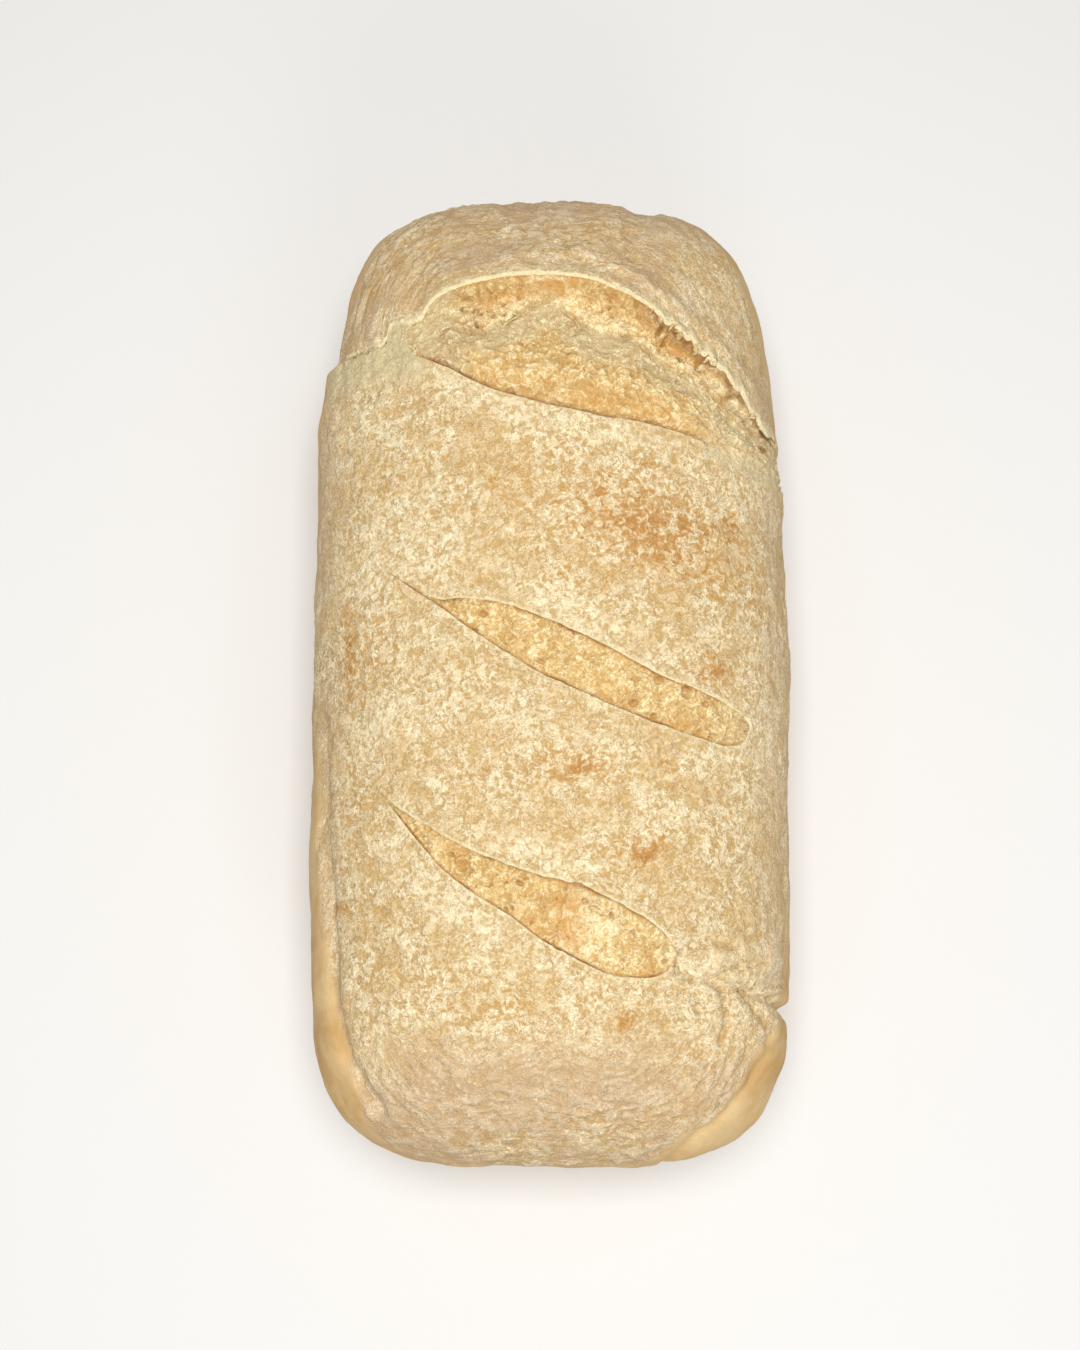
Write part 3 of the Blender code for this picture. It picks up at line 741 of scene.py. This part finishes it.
def buildCrumb(name, spacing, pores, material):
    cut = cuts[name]
    firstX, lastX = cut["nearEdge"][0][0] + 0.25, cut["nearEdge"][-1][0] - 0.1
    if name == "burst":
        firstX, lastX = -37, 60.7
    alongX = np.interp(np.linspace(*np.interp([firstX / halfWide, lastX / halfWide], placeX, stepX),
                                   int((lastX - firstX) / spacing)), stepX, placeX) * halfWide
    widest = np.max(cutEdges(name, alongX)[2])
    share = np.linspace(0, 1, int(widest / spacing * 1.08))
    tuck = 0.9
    x, s = np.meshgrid(alongX, np.concatenate([[-1], share, [2]]))
    near, far, width = cutEdges(name, x)
    opened = smooth(0, 2.5, width)
    y = near + np.clip(s, 0, 1) * (far - near)
    y = y + tuck * opened * ((s > 1).astype(float) - (s < 0))
    x = np.minimum(np.abs(x), halfWidthAt(y) * 0.998) * np.sign(x)
    z = domeAt(x, y)
    normal = domeNormal(x, y)
    inner = np.clip(s, 0, 1)
    floor = cutFloor(name, x, inner, width)
    orange = softPatches(orangePatches[name], x, y, z)
    merge, torn = np.zeros_like(x), np.zeros_like(x)
    if name == "burst":
        toSide = smooth(50, 60.5, x)
        floor = floor * (1 - toSide) - 0.9 * toSide
        relief = tornCrumb(x, y, z + floor, inner) * (1 - 0.4 * toSide)
        y = y - 0.9 * smooth(0.86, 0.93, inner) * smooth(1.0, 0.97, inner) * crags((x, y, z + floor), 2.6, 73)
        torn, edge = sheetAt(x, inner)
        pale = smooth(edge - 0.36, edge - 0.2, inner + 0.06 * bumps((x, y, z), 6, 67)) * (1 - torn) * 0.9
        ends = np.maximum(smooth(-16, -26, x), smooth(30, 44, x))
        pale = np.maximum(pale, ends * smooth(0.97, 0.85, inner))
        merge = smooth(34, 44, x) * smooth(0.4, 0.0, inner) * 0.9
    else:
        relief = softCrumb(x, y, z, name, inner)
        pale = smooth(0.7, 1, x / lastX) * 0.5
    sunk, poreShadows = sunkPores(name, x, y, pores)
    edgeGap = np.minimum(inner, 1 - inner) * np.maximum(far - near, 0)
    calmEdge = smooth(-0.2, 1.0, edgeGap)
    lumps = crustRelief(x, y, z)[0]
    offset = floor + lumps + (relief + sunk) * opened * (0.25 + 0.75 * calmEdge)
    # this height also colours the crumb: darker where low, paler where high, which is painted shade and
    # painted highlight
    crest = 0.5 + 0.7 * (relief + sunk)
    offset = offset - 0.35 * ((s > 1) | (s < 0))
    # a dark band where the crumb meets the crust's lip: partly browned crumb edge, partly painted shade in
    # that crease, widest in the crevices
    if name == "burst":
        atLeft = smooth(-35, -28, x)
        nearSeamShade = hump(np.maximum(edgeGap - 0.5, 0), 0.75) * smooth(42, 30, x) * atLeft
        crevice = smooth(16, 30, x) * smooth(60, 54, x)
        crevice = crevice * smooth(-0.6, 0.3, bumps((x, 0 * x, 0 * x), 4, 82))
        farSeamShade = hump(np.maximum(edgeGap - 0.35 - 0.35 * crevice, 0), 0.4 + 0.3 * crevice)
        farSeamShade = farSeamShade * (0.4 + 0.6 * crevice) * atLeft
        seamBrownAndShade = np.where(inner > 0.5, farSeamShade, nearSeamShade)
    else:
        comes = smooth(-0.5, 0.35, bumps((x, 9 * np.round(inner), 0 * x), 6, 81))
        seamBrownAndShade = hump(np.maximum(edgeGap - 0.55, 0), 0.45) * np.where(inner > 0.5, 0.75, 1)
        seamBrownAndShade = seamBrownAndShade * (0.45 + 0.55 * comes) * smooth(lastX, lastX - 9, x)
        orange = np.maximum(orange, 0.75 * comes * hump(np.maximum(edgeGap - 0.7, 0), 0.9))
    points = np.stack([x, y, z], -1) + normal * offset[..., None]
    fields = {"orange": orange, "pale": pale, "seamBrownAndShade": seamBrownAndShade, "poreShadow": poreShadows, "torn": torn, "height": crest,
              "merge": merge}
    if name == "burst":
        points, fields = addSideTongue(points, fields, s, near[:, -1], far[:, -1])
    rows, columns = points.shape[:2]
    return makeObject(name + "Crumb", points.reshape(-1, 3), gridFaces(rows, columns).tolist(),
                      {key: value.ravel() for key, value in fields.items()}, material)


def addSideTongue(points, fields, s, near, far):  # the crumb runs on down the torn right wall
    below = np.linspace(0.3, loaf["rimHeight"] - sideTear["foot"] - 0.5, 56)
    z = loaf["rimHeight"] - below
    half = tearWidth(z)
    inner = np.clip(s[:, :1], 0, 1)
    mix = smooth(0, 5, below)
    lowY = near[0] * (1 - mix) + (sideTear["middle"] - half) * mix
    highY = far[0] * (1 - mix) + (sideTear["middle"] + half) * mix
    y = lowY + inner * (highY - lowY) + 0.7 * ((s[:, :1] > 1).astype(float) - (s[:, :1] < 0))
    wallX = halfWidthAt(y) * 0.998 - loaf["taper"] * below / loaf["rimHeight"]
    full = np.broadcast_to(z, y.shape)
    relief = 0.5 * crags((wallX, y, full), 3.2, 71) + 0.35 * (ridges((wallX, y / 1.6, full / 5), 1, 72) - 0.5)
    offset = -1.3 + relief * smooth(0, 1.2, half) - 0.8 * ((s[:, :1] > 1) | (s[:, :1] < 0))
    wall = np.stack([wallX + offset, y, full], -1)
    edge = np.minimum(inner, 1 - inner) * (highY - lowY)
    zero = np.zeros(y.shape)
    # the tongue's edges get painted shade where they meet the torn wall, and its hollows get painted shade at
    # half strength
    extra = {"orange": 0.15 + zero, "pale": 0.5 + zero, "seamBrownAndShade": hump(edge, 0.6), "poreShadow": zero,
             "torn": 0.5 + zero, "height": 0.5 + 0.8 * relief, "merge": zero}
    joined = {key: np.concatenate([value, extra[key]], 1) for key, value in fields.items()}
    return np.concatenate([points, wall], 1), joined


# gluten strands stretched between the torn crumb and the wall under the ear
strands = {"count": 34, "sides": 6, "steps": 9, "thick": (0.07, 0.18), "arch": (0.1, 0.7)}
shreds = {"count": 13, "from": 24, "to": 52, "length": (0.5, 1.9), "wide": (0.3, 1.1), "thick": 0.1}


def burstPoint(x, share, lift):
    near, far, width = cutEdges("burst", x)
    y = near + share * (far - near)
    base = np.stack([x, y, domeAt(x, y)], -1)
    height = burstDepthAt(x, share) + lift + crustRelief(x, y, base[..., 2])[0]
    return base + domeNormal(x, y) * height[..., None]


def sweep(path, wide, thick, start):  # a flattened closed tube along a path
    sides, steps = strands["sides"], len(path)
    forward = np.gradient(path, axis=0)
    forward /= np.linalg.norm(forward, axis=1)[:, None]
    side = np.cross(forward, [0, 0, 1])
    side /= np.linalg.norm(side, axis=1)[:, None]
    upward = np.cross(side, forward)
    turn = np.linspace(0, 2 * math.pi, sides, endpoint=False)
    across = side[:, None] * np.cos(turn)[:, None] * wide[:, None, None]
    ring = path[:, None] + across + upward[:, None] * np.sin(turn)[:, None] * thick[:, None, None]
    faces = []
    for k in range(steps - 1):
        for n in range(sides):
            m = (n + 1) % sides
            faces.append((start + k * sides + n, start + k * sides + m,
                          start + (k + 1) * sides + m, start + (k + 1) * sides + n))
    faces.append(tuple(start + n for n in range(sides))[::-1])
    faces.append(tuple(start + (steps - 1) * sides + n for n in range(sides)))
    return ring.reshape(-1, 3), faces


def buildStrands(material):
    verts, faces, count = [], [], 0
    t = np.linspace(0, 1, strands["steps"])
    for strand in range(strands["count"]):
        middle = draws.choice([-24, -4, 6, 16, 30, 44]) + draws.normal(0, 4)
        low = draws.uniform(0.6, 0.82)
        high = low + draws.uniform(0.04, 0.14)
        drift, bow = draws.normal(0, 2.6), draws.normal(0, 1.0)
        alongX = middle + drift * t + bow * np.sin(math.pi * t)
        arch = draws.uniform(*strands["arch"]) * np.sin(math.pi * t) ** 0.8 - 0.1
        path = burstPoint(np.clip(alongX, -34, 56), np.minimum(low + (high - low) * t, 0.9), arch)
        thick = draws.uniform(*strands["thick"]) * (1 - 0.6 * np.sin(math.pi * t)) + 0.03
        points, quads = sweep(path, thick * draws.uniform(1, 2.2), thick, count)
        verts.append(points)
        faces += quads
        count += len(points)
    # ragged shreds of crust that hang from the lip on its right
    for k in range(shreds["count"]):
        x = draws.uniform(shreds["from"], shreds["to"])
        near, far, width = cutEdges("burst", np.array([x]))
        reach = draws.uniform(*shreds["length"]) / max(width[0], 4)
        share = 0.995 - reach * t
        lift = np.interp(share, [0.6, 0.87, 0.94, 1], [0.5, 0.8, 0.9, 0.75])
        path = burstPoint(x + draws.normal(0, 0.9) * t, share, lift - 0.35 * t)
        body = np.sqrt(np.maximum(1 - t**1.5, 0)) * (1 + 0.3 * np.sin(9 * t + draws.uniform(0, 6)))
        wide = draws.uniform(*shreds["wide"]) * body + 0.05
        points, quads = sweep(path, wide, shreds["thick"] * (1 - 0.6 * t), count)
        verts.append(points)
        faces += quads
        count += len(points)
    points = np.concatenate(verts)
    zero = np.zeros(len(points))
    fields = {"orange": zero + 0.1, "pale": zero + 0.2, "seamBrownAndShade": zero, "poreShadow": zero, "torn": zero,
              "height": zero + 0.75, "merge": zero}
    return makeObject("glutenStrands", points, faces, fields, material)


# materials
def linear(red, green, blue):  # a colour as seen on screen, 0 to 255, as the shader wants it
    parts = [c / 255 for c in (red, green, blue)]
    return tuple(c / 12.92 if c <= 0.04045 else ((c + 0.055) / 1.055) ** 2.4 for c in parts) + (1,)


def addNode(tree, kind, values=None, **settings):
    node = tree.nodes.new(kind)
    for key, value in settings.items():
        setattr(node, key, value)
    for key, value in (values or {}).items():
        node.inputs[key].default_value = value
    return node


def mottleGroup():
    # uneven blotches of one size in millimetres, as a mask from 0 to 1
    tree = bpy.data.node_groups.new("mottle", "ShaderNodeTree")
    face = tree.interface
    for name, value in (("Size", 1.2), ("Wander", 0.5), ("Low", 0.4), ("High", 0.6), ("Detail", 3.0)):
        face.new_socket(name=name, in_out="INPUT", socket_type="NodeSocketFloat").default_value = value
    face.new_socket(name="Place", in_out="INPUT", socket_type="NodeSocketVector")
    face.new_socket(name="Mask", in_out="OUTPUT", socket_type="NodeSocketFloat")
    entry, leave = tree.nodes.new("NodeGroupInput"), tree.nodes.new("NodeGroupOutput")
    perMetre = addNode(tree, "ShaderNodeMath", {0: 1.0}, operation="DIVIDE")
    sized = addNode(tree, "ShaderNodeVectorMath", operation="SCALE")
    noise = addNode(tree, "ShaderNodeTexNoise", {"Scale": 1.0, "Roughness": 0.55})
    spread = addNode(tree, "ShaderNodeMapRange", interpolation_type="SMOOTHSTEP")
    link = tree.links.new
    link(entry.outputs["Size"], perMetre.inputs[1])
    link(entry.outputs["Place"], sized.inputs[0])
    link(perMetre.outputs[0], sized.inputs["Scale"])
    link(sized.outputs[0], noise.inputs["Vector"])
    link(entry.outputs["Wander"], noise.inputs["Distortion"])
    link(entry.outputs["Detail"], noise.inputs["Detail"])
    link(noise.outputs["Fac"], spread.inputs["Value"])
    link(entry.outputs["Low"], spread.inputs["From Min"])
    link(entry.outputs["High"], spread.inputs["From Max"])
    link(spread.outputs["Result"], leave.inputs["Mask"])
    return tree


def crackleGroup():
    # flour that dried in raised blots, with thin crooked cracks between them
    tree = bpy.data.node_groups.new("crackle", "ShaderNodeTree")
    face = tree.interface
    for name, value in (("Size", 1.6), ("Wander", 1.2), ("Width", 0.06)):
        face.new_socket(name=name, in_out="INPUT", socket_type="NodeSocketFloat").default_value = value
    for name in ("Crack", "Raised"):
        face.new_socket(name=name, in_out="OUTPUT", socket_type="NodeSocketFloat")
    entry, leave = tree.nodes.new("NodeGroupInput"), tree.nodes.new("NodeGroupOutput")
    place = addNode(tree, "ShaderNodeTexCoord")
    perMetre = addNode(tree, "ShaderNodeMath", {0: 1000.0}, operation="DIVIDE")
    sized = addNode(tree, "ShaderNodeVectorMath", operation="SCALE")
    noise = addNode(tree, "ShaderNodeTexNoise", {"Scale": 1.0, "Roughness": 0.6, "Detail": 2.0})
    centred = addNode(tree, "ShaderNodeMath", {1: 0.5}, operation="SUBTRACT")
    away = addNode(tree, "ShaderNodeMath", operation="ABSOLUTE")
    crack = addNode(tree, "ShaderNodeMapRange", {"To Min": 1.0, "To Max": 0.0},
                    interpolation_type="SMOOTHSTEP")
    raised = addNode(tree, "ShaderNodeMapRange", {"From Max": 0.14}, interpolation_type="SMOOTHSTEP")
    link = tree.links.new
    link(entry.outputs["Size"], perMetre.inputs[1])
    link(place.outputs["Object"], sized.inputs[0])
    link(perMetre.outputs[0], sized.inputs["Scale"])
    link(sized.outputs[0], noise.inputs["Vector"])
    link(entry.outputs["Wander"], noise.inputs["Distortion"])
    link(noise.outputs["Fac"], centred.inputs[0])
    link(centred.outputs[0], away.inputs[0])
    link(away.outputs[0], crack.inputs["Value"])
    link(away.outputs[0], raised.inputs["Value"])
    link(entry.outputs["Width"], crack.inputs["From Max"])
    link(crack.outputs["Result"], leave.inputs["Crack"])
    link(raised.outputs["Result"], leave.inputs["Raised"])
    return tree


mottle = mottleGroup()
crackle = crackleGroup()


class Finish:
    # a material under construction, with short ways to add its usual nodes
    def __init__(self, name, roughness, subsurface):
        self.material = bpy.data.materials.new(name)
        self.material.use_nodes = True
        self.tree = self.material.node_tree
        self.shader = self.tree.nodes["Principled BSDF"]
        self.shader.inputs["Roughness"].default_value = roughness
        self.shader.inputs["Specular IOR Level"].default_value = 0.25
        self.shader.inputs["Subsurface Weight"].default_value = subsurface
        self.shader.inputs["Subsurface Scale"].default_value = 0.002
        self.shader.inputs["Subsurface Radius"].default_value = (1.0, 0.6, 0.3)
        self.here = self.millimetres()

    def link(self, output, target):
        self.tree.links.new(output, target)

    def field(self, name):
        return addNode(self.tree, "ShaderNodeAttribute", attribute_name=name).outputs["Fac"]

    def flow(self, name):
        return addNode(self.tree, "ShaderNodeAttribute", attribute_name=name).outputs["Vector"]

    def millimetres(self):
        place = addNode(self.tree, "ShaderNodeTexCoord")
        scaled = addNode(self.tree, "ShaderNodeVectorMath", {3: 1000.0}, operation="SCALE")
        self.link(place.outputs["Object"], scaled.inputs[0])
        return scaled.outputs[0]

    def blend(self, mask, first, second):
        node = addNode(self.tree, "ShaderNodeMix", data_type="FLOAT", clamp_factor=True)
        for socket, value in zip(node.inputs[:1] + node.inputs[2:4], (mask, first, second)):
            if isinstance(value, (int, float)):
                socket.default_value = value
            else:
                self.link(value, socket)
        return node.outputs[0]

    def blotches(self, size, wander, low, high, detail=3.0, place=None):
        node = addNode(self.tree, "ShaderNodeGroup", node_tree=mottle)
        self.link(place or self.here, node.inputs["Place"])
        values = {"Size": size, "Wander": wander, "Low": low, "High": high, "Detail": detail}
        for key, value in values.items():
            node.inputs[key].default_value = value
        return node.outputs["Mask"]

    def cracks(self, size, wander, width):
        node = addNode(self.tree, "ShaderNodeGroup", node_tree=crackle)
        for key, value in (("Size", size), ("Wander", wander), ("Width", width)):
            node.inputs[key].default_value = value
        return node.outputs["Crack"], node.outputs["Raised"]

    def math(self, operation, first, second):
        node = addNode(self.tree, "ShaderNodeMath", operation=operation, use_clamp=False)
        for slot, value in enumerate((first, second)):
            if isinstance(value, (int, float)):
                node.inputs[slot].default_value = value
            else:
                self.link(value, node.inputs[slot])
        return node.outputs[0]

    def mix(self, mask, base, top):
        node = addNode(self.tree, "ShaderNodeMix", data_type="RGBA", clamp_factor=True)
        for socket, value in ((node.inputs[0], mask), (node.inputs[6], base), (node.inputs[7], top)):
            if isinstance(value, (int, float, tuple)):
                socket.default_value = value
            else:
                self.link(value, socket)
        return node.outputs[2]

    def bump(self, height, depth, strength, normal=None):  # depth in millimetres
        node = addNode(self.tree, "ShaderNodeBump", {"Strength": strength, "Distance": depth * mm})
        self.link(height, node.inputs["Height"])
        if normal:
            self.link(normal, node.inputs["Normal"])
        return node.outputs["Normal"]


crustLook = {
    "flour": linear(254, 239, 200), "dusty": linear(238, 214, 170), "gap": linear(205, 173, 114),
    "line": linear(172, 130, 78),
    "gold": linear(216, 180, 118), "brown": linear(204, 158, 93), "deepBrown": linear(180, 124, 67),
    "tin": linear(208, 175, 120), "tinDark": linear(192, 152, 94), "baked": linear(190, 140, 80),
    "rim": linear(252, 236, 190),
    "under": linear(176, 126, 70), "dough": linear(216, 199, 156), "pinkShade": linear(200, 170, 138),
}


def makeCrustMaterial():
    f = Finish("flouredCrust", 0.85, 0.08)
    look = crustLook
    blots = f.blotches(1.9, 0.9, 0.37, 0.63, 3.0)
    fine = f.blotches(0.85, 0.7, 0.37, 0.63, 2.0)
    streaks = f.blotches(1.7, 0.7, 0.38, 0.62, 3.0, f.flow("flow"))
    patchy = f.blotches(4.8, 0.9, 0.38, 0.62, 3.0)
    cloud = f.blotches(12, 0.7, 0.42, 0.62, 3.0)
    wide = f.blotches(26, 0.5, 0.4, 0.6, 2.0)
    streaky, brown, height = f.field("streaky"), f.field("brown"), f.field("height")
    crack, raised = f.cracks(1.25, 1.6, 0.06)
    longCrack, flat = f.cracks(2.7, 2.2, 0.03)
    grain = f.blend(streaky, blots, streaks)
    tone = f.math("ADD", f.math("MULTIPLY", grain, 0.62), f.math("MULTIPLY", fine, 0.38))
    # flour lies on the raised grain and tan shows in its gaps; the mesh height also darkens every hollow,
    # which is painted shade
    shown = f.blend(0.3, tone, height)
    shown = f.math("ADD", f.math("MULTIPLY", shown, 2.1), f.math("MULTIPLY", patchy, 0.2))
    powder = f.mix(f.math("SUBTRACT", shown, 0.56), look["gap"], look["flour"])
    powder = f.mix(f.math("MULTIPLY", cloud, 0.5), powder, look["gold"])
    strength = f.math("ADD", f.math("MULTIPLY", patchy, 0.35), 0.4)
    lines = f.math("MULTIPLY", f.math("MAXIMUM", crack, longCrack), strength)
    powder = f.mix(lines, powder, look["line"])
    # partly the crust's pinkish tone, partly painted shade on the streaky ends and sides that slope away from
    # the light
    pinkAndSlopeShade = f.math("MULTIPLY", streaky, f.math("ADD", f.math("MULTIPLY", wide, 0.35), 0.2))
    powder = f.mix(pinkAndSlopeShade, powder, look["pinkShade"])
    # browned crust shows between the specks of flour
    bare = f.math("SUBTRACT", f.math("MULTIPLY", brown, 1.75), f.math("MULTIPLY", patchy, 0.35))
    bare = f.math("SUBTRACT", bare, f.math("MULTIPLY", tone, 0.8))
    bare = f.math("MULTIPLY", f.math("MAXIMUM", bare, 0.0), 1.2)
    baked = f.mix(bare, powder, look["brown"])
    deep = f.math("MULTIPLY", f.math("MAXIMUM", f.math("SUBTRACT", bare, 0.55), 0.0), 1.1)
    baked = f.mix(deep, baked, look["deepBrown"])
    white = f.math("MULTIPLY", f.field("flour"), f.math("ADD", f.math("MULTIPLY", tone, 0.75), 0.1))
    whitened = f.mix(white, baked, look["flour"])
    doughy = f.mix(f.math("MULTIPLY", f.field("dough"), 0.85), whitened, look["dough"])
    tinned = f.mix(f.math("MULTIPLY", wide, 0.8), look["tin"], look["tinDark"])
    mild = f.blotches(8, 0.25, 0.35, 0.65, 5.0)
    tinned = f.mix(f.math("MULTIPLY", mild, 0.3), tinned, look["dusty"])
    tinned = f.mix(f.math("MULTIPLY", fine, 0.14), tinned, look["baked"])
    tinned = f.mix(f.math("MULTIPLY", f.field("base"), 0.55), tinned, look["baked"])
    skinned = f.mix(f.field("tin"), doughy, tinned)
    # pale lips: partly flour, partly painted highlight
    rimmed = f.mix(f.field("rim"), skinned, look["rim"])
    # painted shade in the turned-under crust and the tear
    hidden = f.mix(f.field("under"), rimmed, look["under"])
    f.link(hidden, f.shader.inputs["Base Color"])
    soft = f.math("SUBTRACT", 1.0, f.math("MULTIPLY", f.field("tin"), 0.85))
    relief = f.math("ADD", f.math("MULTIPLY", tone, 0.7), f.math("MULTIPLY", raised, 0.3))
    f.link(f.bump(f.math("MULTIPLY", relief, soft), 0.42, 0.9), f.shader.inputs["Normal"])
    return f.material


crumbLook = {
    "crumb": linear(239, 213, 152), "light": linear(254, 239, 196), "shade": linear(202, 162, 98),
    "orange": linear(208, 152, 76), "pale": linear(208, 193, 152), "seamBrownAndShade": linear(138, 90, 44),
    "poreShadow": linear(150, 100, 54), "torn": linear(166, 122, 68), "line": linear(172, 126, 70),
    "crusty": linear(232, 208, 162),
}


def makeCrumbMaterial():
    f = Finish("openCrumb", 0.75, 0.12)
    look = crumbLook
    swirl = f.blotches(2.5, 2.4, 0.36, 0.64, 3.0)
    fine = f.blotches(0.9, 1.6, 0.36, 0.64, 2.0)
    cloud = f.blotches(5, 0.9, 0.4, 0.62, 3.0)
    crack, raised = f.cracks(1.7, 2.0, 0.05)
    hair, plump = f.cracks(1.05, 1.8, 0.06)
    height, torn = f.field("height"), f.field("torn")
    tone = f.math("ADD", f.math("MULTIPLY", swirl, 0.58), f.math("MULTIPLY", fine, 0.42))
    # low relief is coloured darker and high relief paler: painted shade and painted highlight over the
    # crumb's own mottling
    shown = f.math("SUBTRACT", f.math("MULTIPLY", f.blend(0.4, tone, height), 2.0), 0.42)
    base = f.mix(shown, look["shade"], look["crumb"])
    base = f.mix(f.math("MULTIPLY", f.field("pale"), 0.82), base, look["pale"])
    bright = f.math("MULTIPLY", f.math("MAXIMUM", f.math("SUBTRACT", shown, 0.72), 0.0), 2.2)
    base = f.mix(bright, base, look["light"])
    strength = f.math("ADD", f.math("MULTIPLY", cloud, 0.45), 0.25)
    lines = f.math("MULTIPLY", f.math("MAXIMUM", crack, hair), strength)
    base = f.mix(f.math("MULTIPLY", cloud, 0.1), base, look["shade"])
    base = f.mix(lines, base, look["line"])
    # painted shade: the hollows of the torn sheet are coloured brown, deeper hollows darker
    hollowShade = f.math("MULTIPLY", f.math("MAXIMUM", f.math("SUBTRACT", 0.42, height), 0.0), 1.9)
    base = f.mix(f.math("MULTIPLY", torn, hollowShade), base, look["torn"])
    baked = f.math("MULTIPLY", f.field("orange"), f.math("ADD", f.math("MULTIPLY", cloud, 0.5), 0.35))
    base = f.mix(baked, base, look["orange"])
    # painted shadow in the pores
    base = f.mix(f.math("MULTIPLY", f.field("poreShadow"), 0.6), base, look["poreShadow"])
    base = f.mix(f.math("MULTIPLY", f.field("merge"), f.math("ADD", tone, 0.3)), base, look["crusty"])
    patchy = f.blotches(3.5, 0.5, 0.35, 0.6, 2.0)
    # the seam's dark band: partly browned crumb edge, partly painted shade
    brownAndShade = f.math("MULTIPLY", f.field("seamBrownAndShade"), f.math("ADD", f.math("MULTIPLY", patchy, 0.4), 0.55))
    base = f.mix(brownAndShade, base, look["seamBrownAndShade"])
    f.link(base, f.shader.inputs["Base Color"])
    relief = f.math("ADD", f.math("MULTIPLY", tone, 0.7), f.math("MULTIPLY", raised, 0.3))
    f.link(f.bump(relief, 0.28, 0.85), f.shader.inputs["Normal"])
    return f.material


# build
crustFinish = makeCrustMaterial()
crumbFinish = makeCrumbMaterial()
crust = buildCrust(crustFinish)
settle(crust)
print("crust:", len(crust.data.polygons), "faces")
for name, spacing, number in (("near", 0.3, 30), ("middle", 0.3, 26), ("burst", 0.36, 60)):
    piece = buildCrumb(name, spacing, craters[name] + looseBubbles(name, number), crumbFinish)
    settle(piece)
    print(piece.name + ":", len(piece.data.polygons), "faces")
threads = buildStrands(crumbFinish)
settle(threads)
print("strands:", len(threads.data.polygons), "faces")

# floor, light and camera
studio = {"floorSize": 6.0, "floor": (0.78, 0.77, 0.75, 1), "world": 0.38,
          "keyPower": 7.0, "keySize": 0.3, "keyPlace": (0.0, -0.04, 0.95),
          "fillPower": 1.0, "fillSize": 0.3, "fillPlace": (0.12, -0.6, 0.55)}


def addFloor():
    half = studio["floorSize"] / 2
    mesh = bpy.data.meshes.new("floor")
    corners = [(-half, -half, 0), (half, -half, 0), (half, half, 0), (-half, half, 0)]
    mesh.from_pydata(corners, [], [(0, 1, 2, 3)])
    material = bpy.data.materials.new("paleFloor")
    material.use_nodes = True
    shader = material.node_tree.nodes["Principled BSDF"]
    shader.inputs["Base Color"].default_value = studio["floor"]
    shader.inputs["Roughness"].default_value = 0.9
    mesh.materials.append(material)
    floor = bpy.data.objects.new("floor", mesh)
    bpy.context.scene.collection.objects.link(floor)


def addSoftbox(name, power, size, place):
    lamp = bpy.data.lights.new(name, "AREA")
    lamp.energy, lamp.size = power, size
    box = bpy.data.objects.new(name, lamp)
    box.location = place
    box.rotation_euler = (Vector((0, 0, 0.05)) - Vector(place)).to_track_quat("-Z", "Y").to_euler()
    bpy.context.scene.collection.objects.link(box)


def addWorld():
    world = bpy.data.worlds.new("studio")
    world.use_nodes = True
    world.node_tree.nodes["Background"].inputs["Color"].default_value = (1, 1, 1, 1)
    world.node_tree.nodes["Background"].inputs["Strength"].default_value = studio["world"]
    bpy.context.scene.world = world


cameraSpot = {"lens": 50, "distance": 0.474, "elevation": 81, "target": (-0.0025, -0.0026, 0.072)}


def addCamera():
    camera = bpy.data.objects.new("camera", bpy.data.cameras.new("camera"))
    camera.data.lens = cameraSpot["lens"]
    tilt = math.radians(cameraSpot["elevation"])
    away = Vector((0, -math.cos(tilt), math.sin(tilt))) * cameraSpot["distance"]
    camera.location = Vector(cameraSpot["target"]) + away
    camera.rotation_euler = (-away).to_track_quat("-Z", "Y").to_euler()
    camera.data.clip_start = 0.01
    bpy.context.scene.collection.objects.link(camera)
    bpy.context.scene.camera = camera


addFloor()
addSoftbox("keyLight", studio["keyPower"], studio["keySize"], studio["keyPlace"])
addSoftbox("fillLight", studio["fillPower"], studio["fillSize"], studio["fillPlace"])
addWorld()
addCamera()
bpy.context.scene.view_settings.view_transform = "Standard"
print("studio ready")
